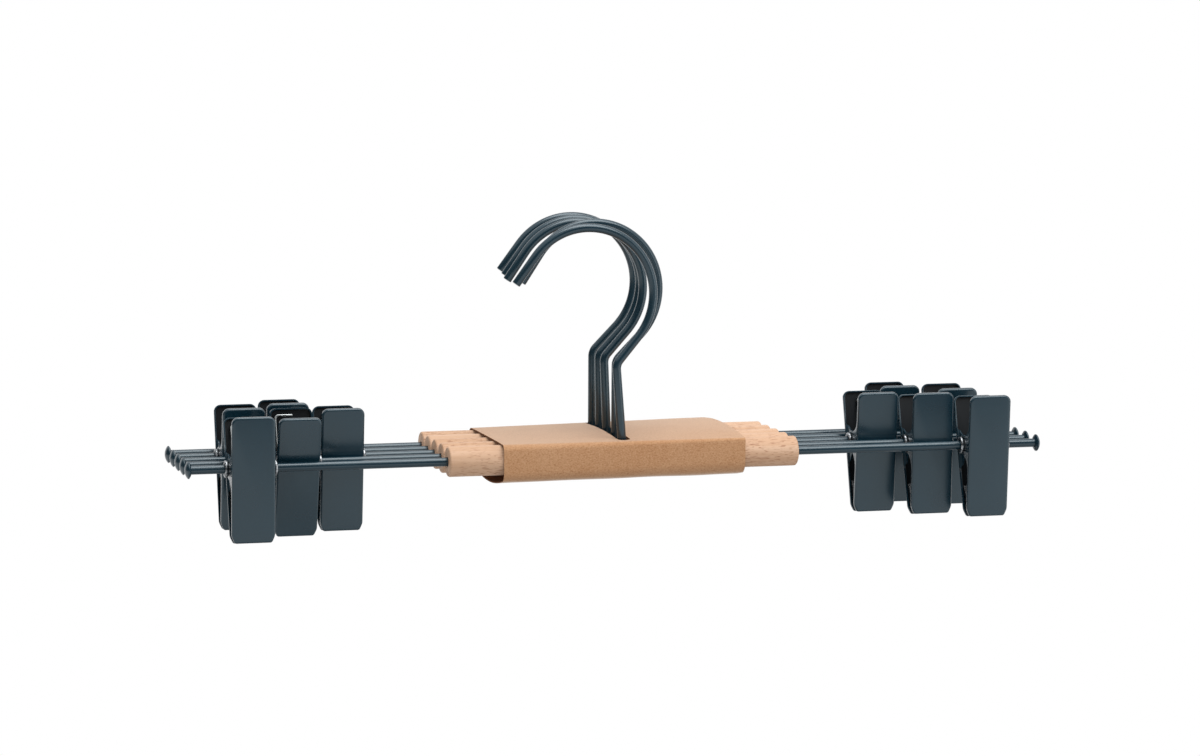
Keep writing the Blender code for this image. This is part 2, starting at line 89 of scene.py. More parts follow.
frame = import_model()
cad_low, cad_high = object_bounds()
MM = 0.001
HANGER_COUNT = 5
SIDES = ("left", "right")
ROOT = "hangers_and_sleeve"
X_AXIS = Vector((1, 0, 0))
Y_AXIS = Vector((0, 1, 0))
Z_AXIS = Vector((0, 0, 1))
print("Model in mm:", [round(side / MM, 1) for side in cad_high - cad_low])

# %% [markdown]
# ## The camera
# The photograph was taken from the left of the middle and a little above, with a long lens.
# Its place and its lens are found by matching the ends of the bars, the dowels and the hooks
# to the photograph. The camera comes first, because every later choice is judged through it.

# %% Set up the camera
CAMERA_PLACE = Vector((-0.48581, -1.88474, 0.15026))
CAMERA_TURN_DEG = -14.743
CAMERA_TILT_DEG = -6.456
CAMERA_ROLL_DEG = 0.094
CAMERA_LENS_MM = 127.656
CAMERA_SENSOR_MM = 36.0
CAMERA_NEAREST = 0.05


def turn(degrees, axis):
    return Matrix.Rotation(math.radians(degrees), 4, axis)


def add_camera():
    lens = bpy.data.cameras.new("photo_camera")
    lens.lens = CAMERA_LENS_MM
    lens.sensor_width = CAMERA_SENSOR_MM
    lens.sensor_fit = "HORIZONTAL"
    lens.clip_start = CAMERA_NEAREST
    camera = bpy.data.objects.new("photo_camera", lens)
    bpy.context.scene.collection.objects.link(camera)
    aim = turn(CAMERA_TURN_DEG, "Z") @ turn(90 + CAMERA_TILT_DEG, "X") @ turn(CAMERA_ROLL_DEG, "Z")
    camera.matrix_world = Matrix.Translation(CAMERA_PLACE) @ aim
    bpy.context.scene.camera = camera


add_camera()
print("Camera:", round(CAMERA_PLACE.length, 2), "m from the origin")

# %% [markdown]
# ## Helpers for nodes
# A material here is a small tree of nodes that reads Object coordinates. Every piece keeps its
# place in its own mesh, so these coordinates run through the whole pack, and no two clips get
# the same specks. Painted images could do the same work, but they would need unwrapped pieces
# and show their seams. The helpers keep each material down to the few lines that say what it
# is, and the world's light is built with the first of them too.

# %% Helpers for nodes
USUAL_DETAIL = 3.0


class NodeTree:
    """A tree of nodes, with short ways to add, join and work with them."""

    def __init__(self, tree):
        self.tree = tree

    def add(self, kind, **settings):
        node = self.tree.nodes.new(kind)
        for key, value in settings.items():
            setattr(node, key, value)
        return node

    def join(self, start, end):
        self.tree.links.new(start, end)

    def levels(self, value, low, high, to_low=0.0, to_high=1.0, smooth=False):
        """The value, with low to high spread over to_low to to_high."""
        spread = self.add("ShaderNodeMapRange")
        spread.interpolation_type = "SMOOTHSTEP" if smooth else "LINEAR"
        limits = {"From Min": low, "From Max": high, "To Min": to_low, "To Max": to_high}
        for socket, limit in limits.items():
            spread.inputs[socket].default_value = limit
        self.join(value, spread.inputs["Value"])
        return spread.outputs["Result"]

    def worked(self, operation, first, second):
        """What an operation makes of two other nodes' outputs."""
        node = self.add("ShaderNodeMath", operation=operation)
        self.join(first, node.inputs[0])
        self.join(second, node.inputs[1])
        return node.outputs["Value"]


class Finish(NodeTree):
    """A material, whose colour, roughness and relief may come from nodes."""

    def __init__(self, name, colour, roughness, metallic=0.0):
        self.material = bpy.data.materials.new(name)
        self.material.use_nodes = True
        super().__init__(self.material.node_tree)
        self.shader = self.tree.nodes["Principled BSDF"]
        self.shader.inputs["Base Color"].default_value = (*colour, 1.0)
        self.shader.inputs["Roughness"].default_value = roughness
        self.shader.inputs["Metallic"].default_value = metallic
        self.coordinates = self.add("ShaderNodeTexCoord").outputs["Object"]

    def stretched(self, scale):
        """Object coordinates times a scale for each axis, in cycles per metre."""
        mapping = self.add("ShaderNodeMapping")
        mapping.inputs["Scale"].default_value = scale
        self.join(self.coordinates, mapping.inputs["Vector"])
        return mapping.outputs["Vector"]

    def grain(self, scale, detail=USUAL_DETAIL, roughness=0.5, distortion=0.0):
        """Noise between 0 and 1, with a scale for each axis."""
        texture = self.add("ShaderNodeTexNoise")
        texture.inputs["Scale"].default_value = 1.0
        texture.inputs["Detail"].default_value = detail
        texture.inputs["Roughness"].default_value = roughness
        texture.inputs["Distortion"].default_value = distortion
        self.join(self.stretched(scale), texture.inputs["Vector"])
        return texture.outputs["Fac"]

    def mixed(self, share, start, end):
        """Colour that goes from start to end. Each may be a colour or another node's output."""
        mix = self.add("ShaderNodeMix", data_type="RGBA")
        colour_sockets = [socket for socket in mix.inputs if socket.type == "RGBA"]
        for socket, given in zip(colour_sockets, (start, end)):
            if isinstance(given, bpy.types.NodeSocket):
                self.join(given, socket)
            else:
                socket.default_value = (*given, 1.0)
        self.join(share, mix.inputs["Factor"])
        return next(socket for socket in mix.outputs if socket.type == "RGBA")

    def set(self, socket, value):
        self.join(value, self.shader.inputs[socket])

    def bump(self, height, distance, strength=1.0, under=None):
        """Relief of a real depth, in metres, on top of another relief where one is given."""
        relief = self.add("ShaderNodeBump")
        relief.inputs["Strength"].default_value = strength
        relief.inputs["Distance"].default_value = distance
        self.join(height, relief.inputs["Height"])
        if under is not None:
            self.join(under, relief.inputs["Normal"])
        self.join(relief.outputs["Normal"], self.shader.inputs["Normal"])
        return relief.outputs["Normal"]

    def shine(self, name, value):
        """Sets one of the shader's plain values, such as its gloss or its sheen."""
        self.shader.inputs[name].default_value = value


def tell(*materials):
    for material in materials:
        print("Material:", material.name, "of", len(material.node_tree.nodes), "nodes")


# %% [markdown]
# ## Powder coat
# The bars, hooks and jaws are sprayed with slate-blue powder and baked. The film flows
# together into a satin skin with a faint ripple about two millimetres wide and with pinpoint
# paler specks. A plain colour would look like plastic, so one noise gives the ripple, a very
# fine one the specks, and a slow one the small changes of tone and gloss. The inside of the
# pressings, deep between the plates, gets a near-black, duller coat of painted shade.

# %% Powder coat
SLATE = (0.0034, 0.0195, 0.0320)
SLATE_PALE = (0.0050, 0.0235, 0.0375)
SPECK_PALE = (0.0105, 0.032, 0.046)
COOL_GLOSS = (0.86, 0.96, 1.0, 1.0)
COAT_GLOSS = 0.71
SHADED_INSIDE_GLOSS = 0.25
RIPPLE_DEPTH = 0.002 * MM
INSIDE_RIPPLE_DEPTH = 0.004 * MM
# The near-black of the pressings' inside is painted shade for the space between the plates
PRESSING_SHADE = (0.006, 0.008, 0.010)


def powder_coat():
    finish = Finish("slate_powder_coat", SLATE, 0.28)
    cloud = finish.grain((60, 60, 60), detail=2.0)
    speck = finish.grain((3200, 3200, 3200), detail=1.0)
    ripple = finish.grain((500, 500, 500), detail=0.0)
    tone = finish.mixed(finish.levels(cloud, 0.3, 0.7), SLATE, SLATE_PALE)
    speckled = finish.mixed(finish.levels(speck, 0.62, 0.80), tone, SPECK_PALE)
    finish.set("Base Color", speckled)
    finish.set("Roughness", finish.levels(cloud, 0.2, 0.8, 0.21, 0.26))
    finish.bump(ripple, RIPPLE_DEPTH, 0.4)
    finish.shine("Specular IOR Level", COAT_GLOSS)
    finish.shine("Specular Tint", COOL_GLOSS)
    return finish.material


def shaded_inside_coat():
    """The inside of the pressings, near-black and dull as painted shade."""
    finish = Finish("shaded_inside_coat", PRESSING_SHADE, 0.42)
    finish.bump(finish.grain((900, 900, 900), detail=1.0), INSIDE_RIPPLE_DEPTH, 0.6)
    finish.shine("Specular IOR Level", SHADED_INSIDE_GLOSS)
    return finish.material


SLATE_COAT = powder_coat()
SHADED_INSIDE_COAT = shaded_inside_coat()
tell(SLATE_COAT, SHADED_INSIDE_COAT)

# %% [markdown]
# ## Beech
# Turned beech is pale and pinkish, with its pores and rays drawn out along the dowel as short
# dark dashes. The noise is squeezed across the grain and stretched along it. A slow wave of
# tone stands for the growth rings that the turning cuts through. A Wave texture would draw
# rings too, but more evenly than this wood shows them.

# %% Beech
BEECH_PALE = (0.640, 0.430, 0.295)
BEECH_WARM = (0.530, 0.320, 0.195)
BEECH_RAY = (0.300, 0.130, 0.065)
FIBRE_DEPTH = 0.05 * MM
RAY_DEPTH = 0.04 * MM


def beech():
    finish = Finish("beech", BEECH_PALE, 0.55)
    rings = finish.grain((9, 210, 210), distortion=0.6)
    fibres = finish.grain((90, 2600, 2600))
    rays = finish.grain((330, 2300, 2300), detail=1.0)
    patches = finish.grain((25, 120, 120), detail=1.0)
    tone = finish.mixed(finish.levels(rings, 0.36, 0.66), BEECH_PALE, BEECH_WARM)
    fibred = finish.mixed(finish.levels(fibres, 0.45, 0.75, 0.0, 0.35), tone, BEECH_WARM)
    dash = finish.levels(rays, 0.56, 0.66, 0.0, 0.80, smooth=True)
    shown = finish.worked("MULTIPLY", dash, finish.levels(patches, 0.30, 0.55))
    finish.set("Base Color", finish.mixed(shown, fibred, BEECH_RAY))
    finish.set("Roughness", finish.levels(fibres, 0.3, 0.7, 0.50, 0.64))
    finish.shine("Specular IOR Level", 0.3)
    grooves = finish.bump(fibres, FIBRE_DEPTH, 0.6)
    finish.bump(rays, -RAY_DEPTH, 0.5, under=grooves)
    return finish.material


BEECH = beech()
tell(BEECH)

# %% [markdown]
# ## Kraft card
# The sleeve is unbleached card. Its face shows a fine mottle, both paler and darker than the
# pulp, dark fibres a millimetre or so long, and slow clouds where the pulp lay thicker. One
# noise makes the pale and the dark mottle, from its two ends, and a more stretched one the
# fibres. A faint sheen gives the dusty look of card seen at a slant. The cut edges are darker
# and rougher. The inner face is drawn dark brown as painted shade. Each gets its own material.

# %% Kraft card
KRAFT = (0.440, 0.228, 0.108)
KRAFT_PALE = (0.550, 0.330, 0.185)
KRAFT_DARK = (0.270, 0.115, 0.046)
KRAFT_CUT = (0.170, 0.078, 0.034)
# The card's inner face is drawn dark brown as painted shade
KRAFT_INSIDE_SHADE = (0.110, 0.045, 0.020)
DUSTY_SHEEN = (1.0, 0.93, 0.85, 1.0)
KRAFT_FIBRES = (600, 2600, 2600)
MOTTLE_DEPTH = 0.05 * MM
KRAFT_FIBRE_DEPTH = 0.03 * MM
CUT_DEPTH = 0.06 * MM


def kraft_card():
    finish = Finish("kraft_card", KRAFT, 0.86)
    clouds = finish.grain((70, 70, 70))
    mottle = finish.grain((1300, 1900, 1900), detail=2.0, roughness=0.65)
    fibres = finish.grain(KRAFT_FIBRES, detail=2.0)
    tone = finish.mixed(finish.levels(clouds, 0.3, 0.7, 0.0, 0.30), KRAFT, KRAFT_PALE)
    pale = finish.mixed(finish.levels(mottle, 0.50, 0.72, 0.0, 0.75), tone, KRAFT_PALE)
    dark = finish.mixed(finish.levels(mottle, 0.46, 0.28, 0.0, 0.70), pale, KRAFT_DARK)
    flecked = finish.mixed(finish.levels(fibres, 0.62, 0.75, 0.0, 0.5), dark, KRAFT_DARK)
    finish.set("Base Color", flecked)
    relief = finish.bump(mottle, MOTTLE_DEPTH, 0.5)
    finish.bump(fibres, KRAFT_FIBRE_DEPTH, 0.5, under=relief)
    finish.shine("Specular IOR Level", 0.25)
    finish.shine("Sheen Weight", 0.60)
    finish.shine("Sheen Tint", DUSTY_SHEEN)
    finish.shine("Sheen Roughness", 0.45)
    return finish.material


def shaded_card_inside():
    """The card's other face, drawn dark brown as painted shade, since it sees little light."""
    finish = Finish("shaded_card_inside", KRAFT_INSIDE_SHADE, 0.95)
    fibres = finish.grain(KRAFT_FIBRES, detail=2.0)
    finish.set("Base Color", finish.mixed(fibres, KRAFT_INSIDE_SHADE, KRAFT_DARK))
    return finish.material


def card_edge():
    finish = Finish("card_edge", KRAFT_DARK, 0.95)
    layers = finish.grain((900, 900, 900))
    finish.set("Base Color", finish.mixed(layers, KRAFT_CUT, KRAFT_DARK))
    finish.bump(layers, CUT_DEPTH, 0.6)
    return finish.material


KRAFT_FACE = kraft_card()
KRAFT_EDGE = card_edge()
KRAFT_BACK_SHADE = shaded_card_inside()
tell(KRAFT_FACE, KRAFT_EDGE, KRAFT_BACK_SHADE)

# %% [markdown]
# ## Zinc, spring wire and pad
# The eyelets are zinc-plated and rolled over by a tool that leaves them uneven. The springs
# are drawn wire, with fine scratches along the drawing. The grip pads in the noses are dark
# glossy vinyl that wrinkles where the jaws pinch it. A noise or two for gloss and relief is
# enough for each, because pieces this small show no more than that.

# %% Zinc, wire and vinyl
ZINC = (0.48, 0.50, 0.52)
ZINC_DULL = (0.10, 0.11, 0.115)
WIRE = (0.33, 0.35, 0.35)
VINYL = (0.012, 0.016, 0.020)
SCRATCH_DEPTH = 0.02 * MM
DRAWING_DEPTH = 0.01 * MM
WRINKLE_DEPTH = 0.35 * MM


def zinc_plate():
    finish = Finish("zinc_plate", ZINC, 0.30, metallic=1.0)
    cloud = finish.grain((900, 900, 900))
    scratch = finish.grain((4200, 900, 900), detail=2.0)
    finish.set("Base Color", finish.mixed(finish.levels(cloud, 0.38, 0.62), ZINC_DULL, ZINC))
    finish.set("Roughness", finish.levels(cloud, 0.25, 0.75, 0.20, 0.42))
    finish.bump(scratch, SCRATCH_DEPTH, 0.6)
    return finish.material


def spring_wire():
    finish = Finish("spring_wire", WIRE, 0.24, metallic=1.0)
    drawn = finish.grain((2200, 2200, 500), detail=2.0)
    finish.set("Roughness", finish.levels(drawn, 0.25, 0.75, 0.18, 0.34))
    finish.bump(drawn, DRAWING_DEPTH, 0.5)
    return finish.material


def grip_vinyl():
    finish = Finish("grip_vinyl", VINYL, 0.22)
    wrinkle = finish.grain((420, 700, 520), detail=2.0, distortion=0.8)
    finish.set("Roughness", finish.levels(wrinkle, 0.3, 0.7, 0.16, 0.34))
    finish.bump(wrinkle, WRINKLE_DEPTH, 0.9)
    return finish.material


ZINC_PLATE = zinc_plate()
SPRING_WIRE = spring_wire()
GRIP_VINYL = grip_vinyl()
tell(ZINC_PLATE, SPRING_WIRE, GRIP_VINYL)

# %% [markdown]
# ## From a shape to a piece
# A shape is worked as a bmesh. When it is done it becomes a mesh, its sharp edges are marked
# by angle, and it is moved to its place inside the mesh, so that the object itself stays at
# the origin. It takes its finish, it is attached to the body it rides on, and the plain solid
# that it stands for is hidden.

# %% Helpers that turn shapes into pieces
SHARP_ANGLE_DEG = 38


def outward(shape):
    bmesh.ops.recalc_face_normals(shape, faces=shape.faces)


def mesh_of(name, shape, dress=None):
    """The mesh of a shape, after the modifiers that dress adds to it."""
    mesh = bpy.data.meshes.new(name)
    shape.to_mesh(mesh)
    shape.free()
    if dress is None:
        return mesh
    worn = bpy.data.objects.new(name, mesh)
    bpy.context.scene.collection.objects.link(worn)
    dress(worn)
    bpy.context.view_layer.update()
    graph = bpy.context.evaluated_depsgraph_get()
    result = bpy.data.meshes.new_from_object(worn.evaluated_get(graph))
    bpy.data.objects.remove(worn)
    return result


def add_piece(name, mesh, finishes, place=Matrix.Identity(4)):
    """A piece from a copy of a mesh, with its place in the mesh."""
    own = mesh.copy()
    own.name = name
    own.transform(place)
    if not own.materials:
        for finish in finishes:
            own.materials.append(finish)
    own.shade_smooth()
    own.set_sharp_from_angle(angle=math.radians(SHARP_ANGLE_DEG))
    piece = bpy.data.objects.new(name, own)
    bpy.context.scene.collection.objects.link(piece)
    return piece


def stand_for(piece, body, node):
    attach(piece, body)
    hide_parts(node)


# %% [markdown]
# ## Turning
# Bars, dowels and eyelets are round about their own length, so each is turned: a profile of
# points beside the X axis is spun full circle. Joined cylinders and cones could make them too,
# but a profile's curves are arcs, so that the light runs over a bar's head or an eyelet's roll
# as it does on the real metal.

# %% A lathe
MERGE_GAP = 0.001 * MM


def arc(centre_x, centre_r, radius, start_deg, end_deg, steps):
    """Points of a profile along an arc, as (x, distance from the axis)."""
    points = []
    for step in range(steps + 1):
        angle = math.radians(start_deg + (end_deg - start_deg) * step / steps)
        points.append((centre_x + radius * math.cos(angle), centre_r + radius * math.sin(angle)))
    return points


def turned(profile, sides, closed):
    """A shape turned about X. Where closed, the profile is a ring with a bore inside it."""
    shape = bmesh.new()
    points = [shape.verts.new((x, 0, r)) for x, r in profile]
    for first, second in zip(points, points[1:]):
        shape.edges.new((first, second))
    if closed:
        shape.edges.new((points[-1], points[0]))
    bmesh.ops.spin(
        shape, geom=shape.verts[:] + shape.edges[:], cent=(0, 0, 0), axis=X_AXIS,
        angle=math.tau, steps=sides, use_merge=True, use_duplicate=False,
    )
    bmesh.ops.remove_doubles(shape, verts=shape.verts, dist=MERGE_GAP)
    outward(shape)
    return shape


def both_ends(profile):
    """A profile for the right end, from the middle of the part outwards, and its mirror image."""
    return [(-x, r) for x, r in reversed(profile)] + profile


# %% [markdown]
# ## Bars
# A bar is a straight wire of 4 mm. Its ends are upset to a head like a nail's: a low dome
# with a rounded rim and a short cone under it. A cylinder would do for the wire but not for
# the heads, so the lathe turns both from one profile. All five bars are alike, and the model
# says how long they are and where they lie.

# %% Turn the bars
BAR_SIDES = 32
HEAD_RADIUS = 3.95 * MM
HEAD_THICKNESS = 2.6 * MM
HEAD_CONE = 0.55 * MM
HEAD_RIM = 1.25 * MM
HEAD_RIM_ROUND = 0.28 * MM
HEAD_DOME_STEPS = 7
NECK_RADIUS = 3.0 * MM
NECK_STEP = 0.02 * MM


def centre_of(node):
    low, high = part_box(node)
    return (low + high) / 2


bar_low, bar_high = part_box("hanger_1_bar")
BAR_HALF_LENGTH = (bar_high.x - bar_low.x) / 2
BAR_RADIUS = 2.0 * MM


def bar_profile():
    seat = BAR_HALF_LENGTH - HEAD_THICKNESS
    rim = seat + HEAD_RIM
    rise = HEAD_THICKNESS - HEAD_RIM
    dome_edge = HEAD_RADIUS - HEAD_RIM_ROUND / 2
    dome = (dome_edge**2 + rise**2) / (2 * rise)
    dome_angle = math.degrees(math.asin(dome_edge / dome))
    under = (seat + HEAD_CONE, HEAD_RADIUS - HEAD_RIM_ROUND)
    profile = [(seat, BAR_RADIUS), (seat + NECK_STEP, NECK_RADIUS), under]
    profile += arc(under[0] + HEAD_RIM_ROUND, under[1], HEAD_RIM_ROUND, 150, 90, 3)
    profile += [(rim - HEAD_RIM_ROUND, HEAD_RADIUS)]
    profile += arc(BAR_HALF_LENGTH - dome, 0.0, dome, dome_angle, 0, HEAD_DOME_STEPS)
    return both_ends(profile)


bar_mesh = mesh_of("bar", turned(bar_profile(), BAR_SIDES, closed=False))
for number in range(1, HANGER_COUNT + 1):
    node = f"hanger_{number}_bar"
    place = Matrix.Translation(centre_of(node))
    bar = add_piece(f"hanger_{number}_coated_bar", bar_mesh, [SLATE_COAT], place)
    stand_for(bar, ROOT, node)
print("Bar:", len(bar_mesh.polygons), "faces")

# %% [markdown]
# ## Hooks
# A hook is one bent wire. A curve with a round bevel could draw it, but a real wire is bent
# in steps, and so is this one: a ring of points is drawn along it, straight runs push the
# ring, and bends swing it about a centre. The bends are the real ones: a kink above the dowel,
# then one long arc over the rail, then a straight tip. The wire's cut end is flat, with its
# edge just broken. Each of the five leans a little to its own side, as the photograph shows.

# %% Draw a wire
class Wire:
    """A round wire drawn from a ring of points, with a place and a heading."""

    def __init__(self, place, heading, radius, sides):
        self.shape = bmesh.new()
        self.place = Vector(place)
        self.heading = Vector(heading).normalized()
        aim = self.heading.to_track_quat("Z", "Y").to_matrix().to_4x4()
        made = bmesh.ops.create_circle(
            self.shape, segments=sides, radius=radius, matrix=Matrix.Translation(self.place) @ aim
        )
        self.ring = made["verts"]

    def ring_edges(self):
        ends = set(self.ring)
        edges = {edge for vert in self.ring for edge in vert.link_edges}
        return [edge for edge in edges if ends.issuperset(edge.verts)]

    def straight(self, length):
        pushed = bmesh.ops.extrude_edge_only(self.shape, edges=self.ring_edges())
        self.ring = [item for item in pushed["geom"] if isinstance(item, bmesh.types.BMVert)]
        bmesh.ops.translate(self.shape, verts=self.ring, vec=self.heading * length)
        self.place += self.heading * length

    def bend(self, toward, radius, degrees, steps, climb=0.0):
        """Swings the ring towards a direction square to its heading, with a climb along the axis."""
        toward = Vector(toward).normalized()
        axis = self.heading.cross(toward)
        centre = self.place + toward * radius
        swung = bmesh.ops.spin(
            self.shape, geom=self.ring + self.ring_edges(), cent=centre, axis=axis,
            dvec=axis * climb / steps, angle=math.radians(degrees), steps=steps,
            use_duplicate=False,
        )
        self.ring = [item for item in swung["geom_last"] if isinstance(item, bmesh.types.BMVert)]
        swing = Matrix.Rotation(math.radians(degrees), 3, axis)
        self.place = centre + swing @ (self.place - centre) + axis * climb
        self.heading = swing @ self.heading

    def finished(self, break_edge):
        """The wire with closed ends, whose edges are rounded off a little."""
        open_edges = [edge for edge in self.shape.edges if edge.is_boundary]
        bmesh.ops.holes_fill(self.shape, edges=open_edges, sides=0)
        bmesh.ops.bevel(
            self.shape, geom=open_edges, affect="EDGES", offset=break_edge, segments=2,
            profile=0.5, material=-1,
        )
        outward(self.shape)
        return self.shape


# %% Bend the hooks
HOOK_SIDES = 24
HOOK_LEANS_DEG = (0.2, -0.6, -2.3, 0.4, -4.4)
HOOK_ARC_ENDS_DEG = (143.5, 144.3, 143.5, 147.2, 139.5)
HOOK_ARC_RADIUS = 30.5 * MM
HOOK_ARC_HEIGHT = 75.1 * MM
HOOK_ARC_OFFSET = 10.7 * MM
HOOK_TIP_LENGTH = 15.4 * MM
HOOK_SLANT_DEG = 45.9
HOOK_KINK_RADIUS = 6.0 * MM
HOOK_WIRE_RADIUS = 2.0 * MM
HOOK_FOOT = 2.3 * MM
HOOK_END_ROUND = 0.3 * MM
HOOK_KINK_STEPS = 8
HOOK_ARC_STEPS = 60


def hook_shape(arc_end):
    """A hook about its bar's axis, without its lean: stem, kink, slant, arc and tip."""
    slant = math.radians(HOOK_SLANT_DEG)
    arc_start = Vector(
        (
            HOOK_ARC_RADIUS * math.sin(slant) - HOOK_ARC_OFFSET,
            0,
            HOOK_ARC_HEIGHT - HOOK_ARC_RADIUS * math.cos(slant),
        )
    )
    kink_height = arc_start.z - arc_start.x * math.tan(slant)
    kink_deg = 90 - HOOK_SLANT_DEG
    setback = HOOK_KINK_RADIUS * math.tan(math.radians(kink_deg) / 2)
    wire = Wire((0, 0, HOOK_FOOT), Z_AXIS, HOOK_WIRE_RADIUS, HOOK_SIDES)
    wire.straight(kink_height - setback - HOOK_FOOT)
    wire.bend(X_AXIS, HOOK_KINK_RADIUS, kink_deg, HOOK_KINK_STEPS)
    wire.straight((arc_start - wire.place).length)
    leftward = wire.heading.cross(Y_AXIS)
    wire.bend(leftward, HOOK_ARC_RADIUS, arc_end + kink_deg, HOOK_ARC_STEPS)
    wire.straight(HOOK_TIP_LENGTH)
    return wire.finished(HOOK_END_ROUND)


for number, (lean, arc_end) in enumerate(zip(HOOK_LEANS_DEG, HOOK_ARC_ENDS_DEG), start=1):
    hook_mesh = mesh_of("hook", hook_shape(arc_end))
    place = Matrix.Translation(centre_of(f"hanger_{number}_bar")) @ turn(lean, "Y")
    hook = add_piece(f"hanger_{number}_wire_hook", hook_mesh, [SLATE_COAT], place)
    stand_for(hook, ROOT, f"hanger_{number}_hook")
print("Hook:", len(hook_mesh.polygons), "faces")

# %% [markdown]
# ## Dowels
# Each block is a dowel of beech, bored for the bar and drilled from above for the hook's
# stem. The lathe gives the body with its eased ends. The stem's hole is a Boolean cut,
# because it meets the round side in a saddle that would be slow to draw by hand.

# %% Turn and drill the dowels
DOWEL_SIDES = 48
DOWEL_EDGE = 0.9 * MM
DOWEL_EDGE_STEPS = 5
BORE_RADIUS = 2.3 * MM
block_low, block_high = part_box("hanger_1_block")
DOWEL_HALF_LENGTH = (block_high.x - block_low.x) / 2
DOWEL_RADIUS = 6.85 * MM


def dowel_shape():
    eased = arc(
        DOWEL_HALF_LENGTH - DOWEL_EDGE, DOWEL_RADIUS - DOWEL_EDGE, DOWEL_EDGE, 90, 0,
        DOWEL_EDGE_STEPS,
    )
    return turned(both_ends(eased + [(DOWEL_HALF_LENGTH, BORE_RADIUS)]), DOWEL_SIDES, closed=True)


def drilled(lean):
    """A modifier step that cuts the stem's hole at the hook's lean."""
    cutter_shape = bmesh.new()
    place = turn(lean, "Y") @ Matrix.Translation((0, 0, DOWEL_RADIUS))
    bmesh.ops.create_cone(
        cutter_shape, cap_ends=True, segments=HOOK_SIDES, radius1=BORE_RADIUS,
        radius2=BORE_RADIUS, depth=2 * DOWEL_RADIUS, matrix=place,
    )
    drill = bpy.data.objects.new("drill", mesh_of("drill", cutter_shape))
    bpy.context.scene.collection.objects.link(drill)

    def cut(dowel):
        hole = dowel.modifiers.new("stem_hole", "BOOLEAN")
        hole.object = drill

    return drill, cut


for number, lean in enumerate(HOOK_LEANS_DEG, start=1):
    drill, cut = drilled(lean)
    dowel_mesh = mesh_of("dowel", dowel_shape(), cut)
    bpy.data.objects.remove(drill)
    node = f"hanger_{number}_block"
    place = Matrix.Translation(centre_of(f"hanger_{number}_bar"))
    dowel = add_piece(f"hanger_{number}_beech_dowel", dowel_mesh, [BEECH], place)
    stand_for(dowel, ROOT, node)
print("Dowel:", len(dowel_mesh.polygons), "faces")

# %% [markdown]
# ## The clips: where each one sits
# Ten clips are alike, so each of their pieces is made once about its own rivet and then
# copied. The fixed model's joints say where each rivet is. A clip's lean is the middle of
# its swing, because it swings equally far to both sides of hanging straight.

# %% Read the clips' places
joints = {joint["name"]: joint for joint in frame["joints"]}
CLIPS = [f"clip_{number}_{side}" for number in range(1, HANGER_COUNT + 1) for side in SIDES]


def clip_place(clip):
    swing = joints[clip + "_swing"]
    lean = -sum(swing["range_deg"]) / 2
    return Matrix.Translation(swing["pos_m"]) @ turn(lean, "X")


print("Clips:", len(CLIPS))

# %% [markdown]
# ## Eyelets
# A hollow rivet holds the two jaws and runs on the bar. Its ends are rolled outwards into
# thick beads. The roll is turned from an arc, and the bead is then pushed in a little here and
# there by a noise, because a setting tool never leaves it even. A torus at each end would look
# too perfect beside the photograph.

# %% Turn the eyelets
EYELET_SIDES = 36
EYELET_HALF_LENGTH = 12.0 * MM
EYELET_GRIP = 10.1 * MM
EYELET_RADIUS = 2.8 * MM
EYELET_HEAD_RADIUS = 3.88 * MM
EYELET_ROLL_END_DEG = 125
EYELET_ROLL_STEPS = 14
EYELET_ROLL_LIP = 0.45 * MM
EYELET_UNEVEN = 0.16 * MM
EYELET_EVEN_DEPTH = 0.3 * MM
EYELET_NOISE_SIZE = 1.1 * MM
EYELET_NOISE_SHIFT = 7.3


def eyelet_shape():
    roll = (EYELET_HEAD_RADIUS - BORE_RADIUS) / 2
    middle = (EYELET_HEAD_RADIUS + BORE_RADIUS) / 2
    crest = EYELET_HALF_LENGTH - roll
    head = arc(crest, middle, roll, -90, EYELET_ROLL_END_DEG, EYELET_ROLL_STEPS)
    head += [(EYELET_GRIP, EYELET_HEAD_RADIUS - EYELET_ROLL_LIP), (EYELET_GRIP, EYELET_RADIUS)]
    return turned(both_ends(head), EYELET_SIDES, closed=True)


def roughened(mesh, seed):
    """An eyelet's mesh with its beads pushed in along the length by a noise."""
    shape = bmesh.new()
    shape.from_mesh(mesh)
    for vert in shape.verts:
        depth = abs(vert.co.x) - EYELET_GRIP
        if depth > EYELET_EVEN_DEPTH:
            spot = vert.co / EYELET_NOISE_SIZE + Z_AXIS * EYELET_NOISE_SHIFT * seed
            push = (0.5 + 0.5 * noise.noise(spot)) * EYELET_UNEVEN
            vert.co.x -= math.copysign(push, vert.co.x)
    return mesh_of("eyelet", shape)


eyelet_mesh = mesh_of("eyelet", eyelet_shape())
for seed, clip in enumerate(CLIPS):
    eyelet = add_piece(clip + "_eyelet", roughened(eyelet_mesh, seed), [ZINC_PLATE], clip_place(clip))
    stand_for(eyelet, clip + "_slider", clip + "_rivet")
print("Eyelet:", len(eyelet_mesh.polygons), "faces")

# %% [markdown]
# ## Plates
# A jaw is one pressing of 0.7 mm sheet. Its outline is cut, its rim is folded in all round,
# and two tabs go on past the fold as ears that hold the eyelet. The front and rear plates
# are the same pressing, turned round, so one ear steps in by a little more than the sheet's
# thickness to nest inside the other plate's. A block could be hollowed out instead, but a skin
# that is folded up in the press's own order gets the press's even wall and round folds.
# Solidify then gives it the wall.

